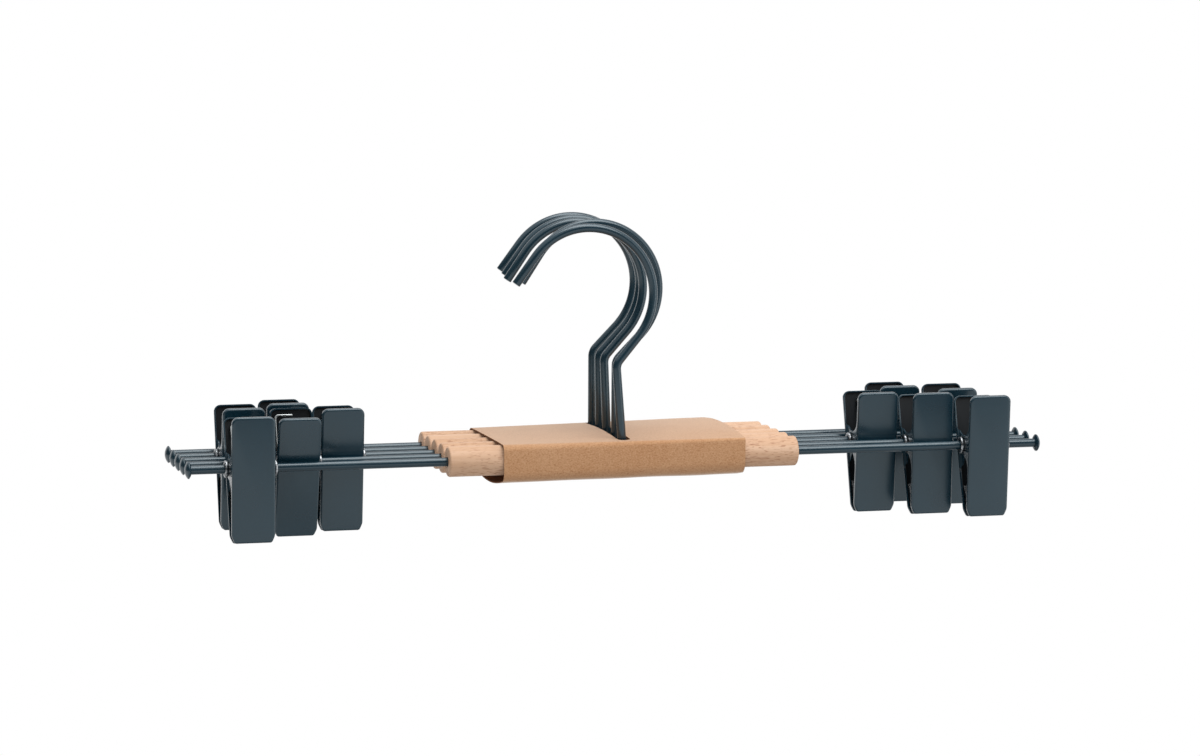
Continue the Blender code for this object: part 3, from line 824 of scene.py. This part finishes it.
# %% Cut and fold the plate's skin
SHEET = 0.7 * MM
PLATE_WIDTH = 19.6 * MM
HANDLE_LENGTH = 24.5 * MM
NOSE_LENGTH = 32.4 * MM
PLATE_SPLAY_DEG = 10.3
PLATE_STAND_OFF = 9.03885 * MM
FLANGE_DEPTH = 2.0 * MM
RIM_HEIGHT = PLATE_STAND_OFF - FLANGE_DEPTH
FOLD_ROUND = 0.9 * MM
HANDLE_CORNER = 3.0 * MM
NOSE_CORNER = 0.8 * MM
NOSE_CUT_WIDTH = 1.4 * MM
NOSE_CUT_HEIGHT = 3.2 * MM
EAR_TOP = 10.5 * MM
EAR_BOTTOM = -11.5 * MM
EAR_RADIUS = 4.7 * MM
EAR_ROUND_START_DEG = 15
EAR_ROUND_END_DEG = -195
EAR_ROUND_STEPS = 24
EAR_SIDE_STEPS = 7
EAR_SIDE_PULL = Vector((0, 0.78, 2.91)) * MM
EAR_TOP_PULL = 2.8 * MM
EAR_BOTTOM_PULL = 3.2 * MM
EAR_HOLE_RADIUS = 3.1 * MM
EAR_HOLE_SIDES = 28
EAR_STEP = 1.0 * MM
EAR_STEP_HEIGHT = 0.9 * MM
EAR_STEP_CUTS = (0.33, 0.66, 1.0)
CUT_EDGE_ROUND = 0.14 * MM
CUT_EDGE_ANGLE_DEG = 50
TOUCHING = 0.01 * MM
CUT_GAP = 0.0001 * MM


def plate_corners():
    """Corners of the blank, anticlockwise from the handle's right one, as (x, y)."""
    side = PLATE_WIDTH / 2
    right_side = [
        (side - NOSE_CUT_WIDTH, -NOSE_LENGTH), (side, NOSE_CUT_HEIGHT - NOSE_LENGTH),
        (side, EAR_BOTTOM), (side, EAR_TOP), (side, HANDLE_LENGTH),
    ]
    return right_side + [(-x, y) for x, y in reversed(right_side)]


def round_corners(shape, corners, offset, segments):
    near = [
        vert for vert in shape.verts
        if any((vert.co.xy - Vector(corner)).length < TOUCHING for corner in corners)
    ]
    bmesh.ops.bevel(
        shape, geom=near, affect="VERTICES", offset=offset, segments=segments, profile=0.5,
        material=-1,
    )


def fold_rim(shape):
    """The blank's edge folded in by the flange's depth, with a round fold."""
    rim = [edge for edge in shape.edges if edge.is_boundary]
    pushed = bmesh.ops.extrude_edge_only(shape, edges=rim)
    moved = [item for item in pushed["geom"] if isinstance(item, bmesh.types.BMVert)]
    bmesh.ops.translate(shape, verts=moved, vec=(0, 0, -FLANGE_DEPTH))
    bmesh.ops.bevel(
        shape, geom=rim, affect="EDGES", offset=FOLD_ROUND, segments=5, profile=0.5, material=-1
    )


def curved(start, pull_start, pull_end, end, steps):
    """Points of a Bezier curve between two ends, without the ends."""
    points = []
    for step in range(1, steps):
        share = step / steps
        rest = 1 - share
        points.append(
            start * rest**3 + pull_start * 3 * rest**2 * share
            + pull_end * 3 * rest * share**2 + end * share**3
        )
    return points


def ear_outline(x):
    """Ear from its upper root round the eyelet to its lower root, without the roots."""
    top_root = Vector((x, EAR_TOP, RIM_HEIGHT))
    bottom_root = Vector((x, EAR_BOTTOM, RIM_HEIGHT))
    swept = EAR_ROUND_END_DEG - EAR_ROUND_START_DEG
    tip = []
    for step in range(EAR_ROUND_STEPS + 1):
        angle = math.radians(EAR_ROUND_START_DEG + swept * step / EAR_ROUND_STEPS)
        tip.append(Vector((x, EAR_RADIUS * math.cos(angle), EAR_RADIUS * math.sin(angle))))
    first, last = tip[0], tip[-1]
    down = Vector((0, -EAR_SIDE_PULL.y, EAR_SIDE_PULL.z))
    upper_side = curved(
        top_root, top_root - Y_AXIS * EAR_TOP_PULL, first + EAR_SIDE_PULL, first, EAR_SIDE_STEPS
    )
    lower_side = curved(
        last, last + down, bottom_root + Y_AXIS * EAR_BOTTOM_PULL, bottom_root, EAR_SIDE_STEPS
    )
    return upper_side + tip + lower_side


def add_ear(shape, x):
    """One ear on the flange at x, with its hole."""

    def at(y):
        """The rim's corner at a height."""
        return min(shape.verts, key=lambda vert: (vert.co - Vector((x, y, RIM_HEIGHT))).length)

    upper_root, lower_root = at(EAR_TOP), at(EAR_BOTTOM)
    chain = [upper_root] + [shape.verts.new(point) for point in ear_outline(x)] + [lower_root]
    outline = [shape.edges.new(pair) for pair in zip(chain, chain[1:])]
    outline.append(shape.edges.get((upper_root, lower_root)))
    hole = bmesh.ops.create_circle(
        shape, segments=EAR_HOLE_SIDES, radius=EAR_HOLE_RADIUS,
        matrix=Matrix.Translation((x, 0, 0)) @ turn(90, "Y"),
    )["verts"]
    hole_edges = list({edge for vert in hole for edge in vert.link_edges})
    filled = bmesh.ops.triangle_fill(
        shape, edges=outline + hole_edges, use_beauty=True, normal=X_AXIS
    )
    return [item for item in filled["geom"] if isinstance(item, bmesh.types.BMFace)]


def step_ear_in(shape, faces):
    """Moves an ear inward by one step, over a short slope below the flange's rim."""

    def on_ear(vert):
        beside = vert.co.x > PLATE_WIDTH / 2 - TOUCHING
        return beside and vert.co.z < RIM_HEIGHT + TOUCHING

    for share in EAR_STEP_CUTS:
        geom = faces + list({edge for face in faces for edge in face.edges})
        geom += list({vert for face in faces for vert in face.verts})
        bmesh.ops.bisect_plane(
            shape, geom=geom, dist=CUT_GAP, plane_no=Z_AXIS,
            plane_co=(0, 0, RIM_HEIGHT - EAR_STEP_HEIGHT * share),
        )
        faces = [face for face in shape.faces if all(on_ear(vert) for vert in face.verts)]
    for vert in {vert for face in faces for vert in face.verts}:
        share = min(1.0, (RIM_HEIGHT - vert.co.z) / EAR_STEP_HEIGHT)
        eased = share * share * (3 - 2 * share)
        vert.co.x -= EAR_STEP * eased


def plate_shape():
    """Outer skin of a plate: x across, y up it, z out from the rivet."""
    shape = bmesh.new()
    corners = plate_corners()
    blank = [shape.verts.new((x, y, PLATE_STAND_OFF)) for x, y in corners]
    shape.faces.new(blank)
    handle_corners = [corner for corner in corners if corner[1] == HANDLE_LENGTH]
    nose_corners = [corner for corner in corners if corner[1] <= NOSE_CUT_HEIGHT - NOSE_LENGTH]
    round_corners(shape, handle_corners, HANDLE_CORNER, 8)
    round_corners(shape, nose_corners, NOSE_CORNER, 4)
    fold_rim(shape)
    add_ear(shape, -PLATE_WIDTH / 2)
    step_ear_in(shape, add_ear(shape, PLATE_WIDTH / 2))
    outward(shape)
    face = max(shape.faces, key=lambda face: face.calc_area())
    if face.normal.z < 0:
        bmesh.ops.reverse_faces(shape, faces=shape.faces)
    return shape


def give_wall(plate):
    """The sheet's thickness, inward from the skin, and its cut edges just rounded."""
    plate.data.materials.append(SLATE_COAT)
    # The second finish, for the sheet's inner side, is near-black painted shade
    plate.data.materials.append(SHADED_INSIDE_COAT)
    wall = plate.modifiers.new("wall", "SOLIDIFY")
    wall.thickness = SHEET
    wall.offset = -1.0
    wall.use_even_offset = True
    wall.use_quality_normals = True
    wall.material_offset = 1
    edge = plate.modifiers.new("cut_edge", "BEVEL")
    edge.width = CUT_EDGE_ROUND
    edge.segments = 2
    edge.limit_method = "ANGLE"
    edge.angle_limit = math.radians(CUT_EDGE_ANGLE_DEG)


# A plate's own axes in the clip: y up the plate becomes a slope, z becomes forward
PLATE_TO_CLIP = turn(90 + PLATE_SPLAY_DEG, "X")
SWAPS = {"front": Matrix.Identity(4), "rear": turn(180, "Z")}

# %% Fold the ten pairs of plates
plate_mesh = mesh_of("plate", plate_shape(), give_wall)
plate_mesh.transform(PLATE_TO_CLIP)
print("Plate:", len(plate_mesh.polygons), "faces")

for clip in CLIPS:
    for part, swap in SWAPS.items():
        plate = add_piece(f"{clip}_{part}_plate", plate_mesh, [SLATE_COAT], clip_place(clip) @ swap)
        stand_for(plate, f"{clip}_{part}_half", f"{clip}_{part}_jaw")

# %% [markdown]
# ## Grip pads
# In each nose sits a strip of vinyl with ribs across it, so that a trouser hem doesn't slip.
# The two pads meet where the clip closes. The strip's section is drawn in the closed clip's
# upright plane, where the ribs must stop short of the meeting line, and pushed along X. Ribs
# set on a plain box would take more pieces and leave seams between them.

# %% Draw the ribbed section
PAD_LENGTH = 14.4 * MM
PAD_SIDE_GAP = 0.45 * MM
PAD_BACK_GAP = 0.03 * MM
PAD_MEETING = 0.16 * MM
PAD_FIRST_RIB = 0.35 * MM
PAD_RIB_PITCH = 1.15 * MM
PAD_RIB_DEPTH = 0.55 * MM
PAD_RIBS = 7
PAD_RIB_STEPS = 6
PAD_END_ROUND = 0.25 * MM


def pad_section():
    """Section of the front pad, in the closed clip's y and z, as points."""
    back = PLATE_STAND_OFF - SHEET - PAD_BACK_GAP

    def on_plate(up, out):
        return PLATE_TO_CLIP @ Vector((0, up, out))

    low = on_plate(-NOSE_LENGTH + SHEET, back)
    high = on_plate(-NOSE_LENGTH + PAD_LENGTH, back)
    top = on_plate(-NOSE_LENGTH + PAD_LENGTH, back - SHEET)
    points = [low]
    first = low.z + PAD_FIRST_RIB
    for step in range(PAD_RIBS * PAD_RIB_STEPS + 1):
        wave = 0.5 - 0.5 * math.cos(math.tau * step / PAD_RIB_STEPS)
        z = first + PAD_RIB_PITCH * step / PAD_RIB_STEPS
        points.append(Vector((0, -PAD_MEETING - PAD_RIB_DEPTH * wave, z)))
    return points + [top, high]


def pad_shape():
    half = PLATE_WIDTH / 2 - SHEET - PAD_SIDE_GAP
    shape = bmesh.new()
    corners = [shape.verts.new(point - X_AXIS * half) for point in pad_section()]
    face = shape.faces.new(corners)
    pushed = bmesh.ops.extrude_face_region(shape, geom=[face])["geom"]
    moved = [item for item in pushed if isinstance(item, bmesh.types.BMVert)]
    bmesh.ops.translate(shape, verts=moved, vec=X_AXIS * 2 * half)
    ends = [edge for edge in shape.edges if any(len(f.verts) > 4 for f in edge.link_faces)]
    bmesh.ops.bevel(
        shape, geom=ends, affect="EDGES", offset=PAD_END_ROUND, segments=2, profile=0.5,
        material=-1,
    )
    outward(shape)
    return shape


pad_mesh = mesh_of("pad", pad_shape())
for clip in CLIPS:
    for part, swap in SWAPS.items():
        pad = add_piece(f"{clip}_{part}_pad", pad_mesh, [GRIP_VINYL], clip_place(clip) @ swap)
        stand_for(pad, f"{clip}_{part}_half", f"{clip}_{part}_jaw")
print("Pad:", len(pad_mesh.polygons), "faces")

# %% [markdown]
# ## Springs
# A torsion spring sits round each eyelet, at its own place along it, and each of its legs runs
# up behind a handle and bends across it. Squeezing the handles winds it up. The wire is drawn
# in three pieces whose ends meet: a leg for each plate, riding on that plate's half, and the
# coil, which is set in place once and rides on neither half. A Screw modifier could wind the
# coil, but the hooks' wire tool makes legs and coil alike.

# %% Draw the legs and the coil
SPRING_WIRE_RADIUS = 0.6 * MM
SPRING_SIDES = 12
SPRING_COIL_RADIUS = 3.7 * MM
SPRING_COIL_END = 3.3 * MM
SPRING_PLACES_MM = (2.0, 2.2, 2.5, 2.2, -1.4, 0.6, -3.9, 3.0, -3.0, 3.2)
SPRING_TURNS = 4
SPRING_LEG_DROP = 3.2 * MM
SPRING_LEG_BEND = 1.6 * MM
SPRING_LEG_REACH = 7.9 * MM
SPRING_LEG_GAP = 0.3 * MM
SPRING_BEND_STEPS = 8
SPRING_END_ROUND = 0.2 * MM
COIL_END_ROUND = 0.05 * MM
COIL_STEPS_PER_TURN = 24


def leg_line():
    """Top of the front leg's straight run, its foot on the coil, and the foot's angle there."""
    behind = PLATE_STAND_OFF - SHEET - SPRING_LEG_GAP - SPRING_WIRE_RADIUS
    top = PLATE_TO_CLIP @ Vector((0, HANDLE_LENGTH - SPRING_LEG_DROP - SPRING_LEG_BEND, behind))
    reach = math.hypot(top.y, top.z)
    spread = math.acos(SPRING_COIL_RADIUS / reach)
    angle = math.atan2(top.z, top.y) + spread
    foot = Vector((0, SPRING_COIL_RADIUS * math.cos(angle), SPRING_COIL_RADIUS * math.sin(angle)))
    return top, foot, angle


def leg_shape():
    """The front leg, from the coil's end up the handle and across it."""
    top, foot, _ = leg_line()
    side = X_AXIS * SPRING_COIL_END
    wire = Wire(foot + side, top - foot, SPRING_WIRE_RADIUS, SPRING_SIDES)
    wire.straight((top - foot).length)
    wire.bend(-X_AXIS, SPRING_LEG_BEND, 90, SPRING_BEND_STEPS)
    wire.straight(SPRING_LEG_REACH - SPRING_LEG_BEND)
    return wire.finished(SPRING_END_ROUND)


def coil_shape():
    """The coil, from the front leg's foot to the rear leg's, which is the same turned round."""
    top, foot, angle = leg_line()
    winding = math.degrees(math.pi - 2 * angle) + 360 * (SPRING_TURNS + 1)
    wire = Wire(foot + X_AXIS * SPRING_COIL_END, foot - top, SPRING_WIRE_RADIUS, SPRING_SIDES)
    steps = round(winding / 360 * COIL_STEPS_PER_TURN)
    climb = -2 * SPRING_COIL_END if wire.heading.cross(-foot).x > 0 else 2 * SPRING_COIL_END
    wire.bend(-foot, SPRING_COIL_RADIUS, winding, steps, climb=climb)
    return wire.finished(COIL_END_ROUND)


leg_mesh = mesh_of("leg", leg_shape())
coil_mesh = mesh_of("coil", coil_shape())
for clip, along in zip(CLIPS, SPRING_PLACES_MM):
    place = clip_place(clip)
    place.translation.x += along * MM
    for part, swap in SWAPS.items():
        leg = add_piece(f"{clip}_spring_{part}_leg", leg_mesh, [SPRING_WIRE], place @ swap)
        stand_for(leg, f"{clip}_{part}_half", clip + "_spring")
    coil = add_piece(clip + "_spring_coil", coil_mesh, [SPRING_WIRE], place)
    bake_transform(coil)
    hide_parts(clip + "_spring")
print("Spring:", 2 * len(leg_mesh.polygons) + len(coil_mesh.polygons), "faces")

# %% [markdown]
# ## Card sleeve
# The sleeve is one strip of card folded round the five dowels and glued to itself down the
# back. It was made loose: the top is bowed up over the dowels at the right end and lies on
# them at the left, and the bottom hangs down as a shallow trough. So the section is drawn
# twice, once for each end, as one open line from the outer end of the glued lap round to
# the inner end. A bridge of faces joins the two lines, and Solidify gives the card. A cloth
# simulation could find a bulge, but the photograph shows both ends, so they can be drawn.

# %% Draw the two end sections
CARD = 0.5 * MM
SLEEVE_LEFT = {
    "crown": 0.2 * MM, "top_fold": 2.6 * MM, "back_fold": 5.0 * MM, "back_rise": 0.0,
    "sag": 3.9 * MM, "front_drop": 2.0 * MM, "lower_fold": 4.0 * MM,
}
SLEEVE_RIGHT = {
    "crown": 2.15 * MM, "top_fold": 0.9 * MM, "back_fold": 0.9 * MM, "back_rise": 1.2 * MM,
    "sag": 3.6 * MM, "front_drop": 1.6 * MM, "lower_fold": 5.8 * MM,
}
SLEEVE_BACK_LOWER_FOLD = 4.0 * MM
LAP_HEIGHT = 9.0 * MM
LAP_RISE = 3.5 * MM
PANEL_STEPS = 24
FOLD_STEPS = 6
sleeve_low, sleeve_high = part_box("card_sleeve")
bar_axis = centre_of("hanger_3_bar")
CARD_HALF_HEIGHT = 7.15 * MM
CARD_HALF_DEPTH = bar_axis.y - sleeve_low.y - CARD
LAP_FOOT = LAP_RISE - CARD_HALF_HEIGHT


def sleeve_section(end):
    """Inner face of the card about the middle bar, as (y, z), from the lap round the bottom."""
    depth, height = CARD_HALF_DEPTH, CARD_HALF_HEIGHT

    def panel(start_y, end_y, start_z, end_z, rise):
        """A bowed panel between two folds, without its ends."""
        bowed = []
        for step in range(1, PANEL_STEPS):
            share = step / PANEL_STEPS
            z = start_z + (end_z - start_z) * share + rise * 4 * share * (1 - share)
            bowed.append((start_y + (end_y - start_y) * share, z))
        return bowed

    lower, top, back = end["lower_fold"], end["top_fold"], end["back_fold"]
    heel = SLEEVE_BACK_LOWER_FOLD
    front_foot = -height - end["front_drop"]
    back_top = height + end["back_rise"]
    lap_middle = LAP_FOOT + LAP_HEIGHT / 2
    outer = depth + CARD
    points = [(outer, LAP_FOOT + LAP_HEIGHT), (outer, lap_middle), (outer, heel - height)]
    points += arc(depth - heel, heel - height, heel, 0, -90, FOLD_STEPS)[1:]
    points += panel(depth - heel, lower - depth, -height, front_foot, -end["sag"])
    points += arc(lower - depth, front_foot + lower, lower, -90, -180, FOLD_STEPS)
    points += arc(top - depth, height - top, top, 180, 90, FOLD_STEPS)
    points += panel(top - depth, depth - back, height, back_top, end["crown"])
    points += arc(depth - back, back_top - back, back, 90, 0, FOLD_STEPS)
    return points + [(depth, lap_middle), (depth, LAP_FOOT)]


# %% Bridge, thicken and slot the card
SLEEVE_ROWS = 40
SLOT_SIDE_GAP = 1.0 * MM
SLOT_HALF_WIDTH = HOOK_WIRE_RADIUS + SLOT_SIDE_GAP
SLOT_END_GAP = 1.5 * MM
SLOT_ROUND_SHARE = 0.98
SLOT_CUT_HEIGHT = 20 * MM
SLOT_CUT_MIDDLE = 15 * MM
CARD_WAVE = 0.25 * MM
CARD_WAVE_SIZE = 26 * MM
CARD_WAVE_START = 2.0 * MM


def runs_along(edge, axis):
    """Whether an edge covers more than a millimetre of an axis."""
    return abs((edge.verts[0].co - edge.verts[1].co).dot(axis)) > MM


def sleeve_shape():
    """The card's inner face between its two ends, with a slight wave where it hangs free."""
    shape = bmesh.new()
    rails = []
    for x, end in ((sleeve_low.x, SLEEVE_LEFT), (sleeve_high.x, SLEEVE_RIGHT)):
        places = [(x, bar_axis.y + y, bar_axis.z + z) for y, z in sleeve_section(end)]
        line = [shape.verts.new(place) for place in places]
        rails += [shape.edges.new(pair) for pair in zip(line, line[1:])]
    bmesh.ops.bridge_loops(shape, edges=rails)
    along = [edge for edge in shape.edges if runs_along(edge, X_AXIS)]
    bmesh.ops.subdivide_edges(shape, edges=along, cuts=SLEEVE_ROWS, use_grid_fill=True)
    for vert in shape.verts:
        clear = abs(vert.co.z - bar_axis.z) - CARD_HALF_HEIGHT
        if clear > 0:
            free = min(1.0, clear / CARD_WAVE_START)
            vert.co.z += noise.noise(vert.co / CARD_WAVE_SIZE) * CARD_WAVE * free
    outward(shape)
    front = min(shape.faces, key=lambda face: face.calc_center_median().y)
    if front.normal.y > 0:
        bmesh.ops.reverse_faces(shape, faces=shape.faces)
    return shape


def slot_cutter():
    """A round-ended bar to cut the slot that the stems come up through."""
    half_length = centre_of("hanger_1_bar").y - bar_axis.y + HOOK_WIRE_RADIUS + SLOT_END_GAP
    shape = bmesh.new()
    bmesh.ops.create_cube(shape, size=1.0)
    size = (2 * SLOT_HALF_WIDTH, 2 * half_length, SLOT_CUT_HEIGHT)
    bmesh.ops.scale(shape, verts=shape.verts, vec=size)
    upright = [edge for edge in shape.edges if runs_along(edge, Z_AXIS)]
    bmesh.ops.bevel(
        shape, geom=upright, affect="EDGES", offset=SLOT_HALF_WIDTH * SLOT_ROUND_SHARE,
        segments=8, profile=0.5, material=-1,
    )
    bmesh.ops.translate(shape, verts=shape.verts, vec=bar_axis + Z_AXIS * SLOT_CUT_MIDDLE)
    cutter = bpy.data.objects.new("slot", mesh_of("slot", shape))
    bpy.context.scene.collection.objects.link(cutter)
    return cutter


# %% Fold the sleeve and give each side its finish
# The third finish, on the inner face, is painted shade
CARD_FINISHES = [KRAFT_FACE, KRAFT_EDGE, KRAFT_BACK_SHADE]
OUTSIDE, CUT_EDGE, INNER_FACE = range(len(CARD_FINISHES))
SQUARE_ON = 0.9
SLOT_WALL_SLOPE = 0.5
SLOT_REACH = SLOT_HALF_WIDTH * 1.01
LAP_EDGE_AREA = 2e-6


def side_of_card(face):
    """Which side of the card a face is: outside, cut edge or inner face."""
    offset = face.center - bar_axis
    slope = abs(face.normal.z)
    at_end = abs(face.normal.x) > SQUARE_ON
    in_slot = abs(offset.x) < SLOT_REACH and slope < SLOT_WALL_SLOPE
    in_slot = in_slot and offset.z > CARD_HALF_HEIGHT
    at_lap = face.area < LAP_EDGE_AREA and slope > SQUARE_ON and offset.y > CARD_HALF_DEPTH
    if at_end or in_slot or at_lap:
        return CUT_EDGE
    return INNER_FACE if face.normal.yz.dot(offset.yz) < 0 else OUTSIDE


def fold_sleeve():
    cutter = slot_cutter()

    def dress(sleeve):
        card = sleeve.modifiers.new("card", "SOLIDIFY")
        card.thickness = CARD
        card.offset = 1.0
        card.use_even_offset = True
        slot = sleeve.modifiers.new("slot", "BOOLEAN")
        slot.object = cutter

    mesh = mesh_of("sleeve", sleeve_shape(), dress)
    bpy.data.objects.remove(cutter)
    sleeve = add_piece("kraft_sleeve", mesh, CARD_FINISHES)
    for face in sleeve.data.polygons:
        face.material_index = side_of_card(face)
    return sleeve


sleeve = fold_sleeve()
stand_for(sleeve, ROOT, "card_sleeve")
print("Sleeve:", len(sleeve.data.polygons), "faces")

# %% [markdown]
# ## Floor and light
# The photograph shows no floor: the pack floats on white. Here a pale floor lies below it, out
# of the camera's view, where it catches the pack's shadow in the other views and thins out
# towards its rim. The world is white to the camera, and as a light it is even all round. A
# reflection sees white too, apart from a dark room at eye level on the camera's side, which
# keeps the satin plates deep in colour. One large lamp overhead makes the bright line along
# the top of each bar, and a weak strip stands at the right. A photograph of a real studio
# could light the pack as well, but a few numbers are easier to steer and to read.

# %% Lay the floor
FLOOR_DROP = 0.22
FLOOR_RADIUS = 0.50
FLOOR_FADE_START = 0.25
FLOOR_SIDES = 96
FLOOR_COLOUR = (0.42, 0.42, 0.42)


def pale_floor():
    finish = Finish("pale_floor", FLOOR_COLOUR, 0.9)
    finish.shine("Specular IOR Level", 0.1)
    distance = finish.add("ShaderNodeVectorMath", operation="LENGTH")
    finish.join(finish.coordinates, distance.inputs[0])
    fade = finish.levels(distance.outputs["Value"], FLOOR_FADE_START, FLOOR_RADIUS, smooth=True)
    clear = finish.add("ShaderNodeBsdfTransparent")
    mix = finish.add("ShaderNodeMixShader")
    finish.join(fade, mix.inputs["Fac"])
    finish.join(finish.shader.outputs["BSDF"], mix.inputs[1])
    finish.join(clear.outputs["BSDF"], mix.inputs[2])
    finish.join(mix.outputs["Shader"], finish.tree.nodes["Material Output"].inputs["Surface"])
    return finish.material


def lay_floor():
    shape = bmesh.new()
    bmesh.ops.create_circle(shape, cap_ends=True, segments=FLOOR_SIDES, radius=FLOOR_RADIUS)
    mesh = mesh_of("floor", shape)
    mesh.materials.append(pale_floor())
    floor = bpy.data.objects.new("floor", mesh)
    floor.location = (bar_axis.x, 0, cad_low.z - FLOOR_DROP)
    bpy.context.scene.collection.objects.link(floor)


lay_floor()

# %% Light the world
WORLD_LIGHT = 0.74
ROOM_LIGHT = 0.08
# The dark room's soft edges: heights over the horizon, then turns to the camera's right
ROOM_LOW_DEG = (-9.5, -2.5)
ROOM_HIGH_DEG = (24.0, 40.0)
ROOM_LEFT_DEG = (-140.0, -105.0)
ROOM_RIGHT_DEG = (38.0, 54.0)


def dark_room(world):
    """What a reflection sees: white, with a dark room on the camera's side."""
    direction = world.add("ShaderNodeTexCoord").outputs["Generated"]

    def along(axis):
        node = world.add("ShaderNodeVectorMath", operation="DOT_PRODUCT")
        world.join(direction, node.inputs[0])
        node.inputs[1].default_value = axis
        return node.outputs["Value"]

    def between(value, start, end):
        """1 inside the room and 0 outside it, with a soft edge at the start and the end."""
        rising = world.levels(value, *start, 0, 1, smooth=True)
        falling = world.levels(value, *end, 1, 0, smooth=True)
        return world.worked("MULTIPLY", rising, falling)

    def sines(degrees):
        return [math.sin(math.radians(edge)) for edge in degrees]

    def radians(degrees):
        return [math.radians(edge) for edge in degrees]

    to_camera = (CAMERA_PLACE - bar_axis) * Vector((1, 1, 0))
    turned_right = world.worked("ARCTAN2", along(Z_AXIS.cross(to_camera)), along(to_camera))
    upright = between(along(Z_AXIS), sines(ROOM_LOW_DEG), sines(ROOM_HIGH_DEG))
    around = between(turned_right, radians(ROOM_LEFT_DEG), radians(ROOM_RIGHT_DEG))
    room = world.worked("MULTIPLY", upright, around)
    return world.levels(room, 0, 1, 1, ROOM_LIGHT, smooth=True)


def light_world():
    studio = bpy.data.worlds.new("studio")
    studio.use_nodes = True
    world = NodeTree(studio.node_tree)

    def plain(number):
        node = world.add("ShaderNodeValue")
        node.outputs[0].default_value = number
        return node.outputs[0]

    rays = world.add("ShaderNodeLightPath").outputs
    strength, white = plain(WORLD_LIGHT), plain(1.0)
    sights = {"Is Glossy Ray": dark_room(world), "Is Transmission Ray": white, "Is Camera Ray": white}
    for ray, seen in sights.items():
        mix = world.add("ShaderNodeMix")
        world.join(rays[ray], mix.inputs[0])
        world.join(strength, mix.inputs[2])
        world.join(seen, mix.inputs[3])
        strength = mix.outputs[0]
    background = world.tree.nodes["Background"]
    background.inputs["Color"].default_value = (1, 1, 1, 1)
    world.join(strength, background.inputs["Strength"])
    bpy.context.scene.world = studio
    print("World:", len(world.tree.nodes), "nodes")


light_world()

# %% Hang the lamps
def add_lamp(name, place, target, size, watts):
    lamp = bpy.data.lights.new(name, "AREA")
    lamp.shape = "RECTANGLE"
    lamp.size, lamp.size_y = size
    lamp.energy = watts
    holder = bpy.data.objects.new(name, lamp)
    bpy.context.scene.collection.objects.link(holder)
    holder.location = place
    aim = Vector(target) - Vector(place)
    holder.rotation_euler = aim.to_track_quat("-Z", "Y").to_euler()
    print("Lamp:", name, watts, "W")


add_lamp(
    "overhead", place=(0.33, -0.40, 1.15), target=(0.20, -0.25, -0.1), size=(0.8, 1.6), watts=18.0
)
add_lamp(
    "side_strip", place=(0.95, -0.80, 0.05), target=(0.0, 0.0, -0.02), size=(0.25, 0.9), watts=1.4
)
bpy.context.scene.view_settings.view_transform = "Standard"
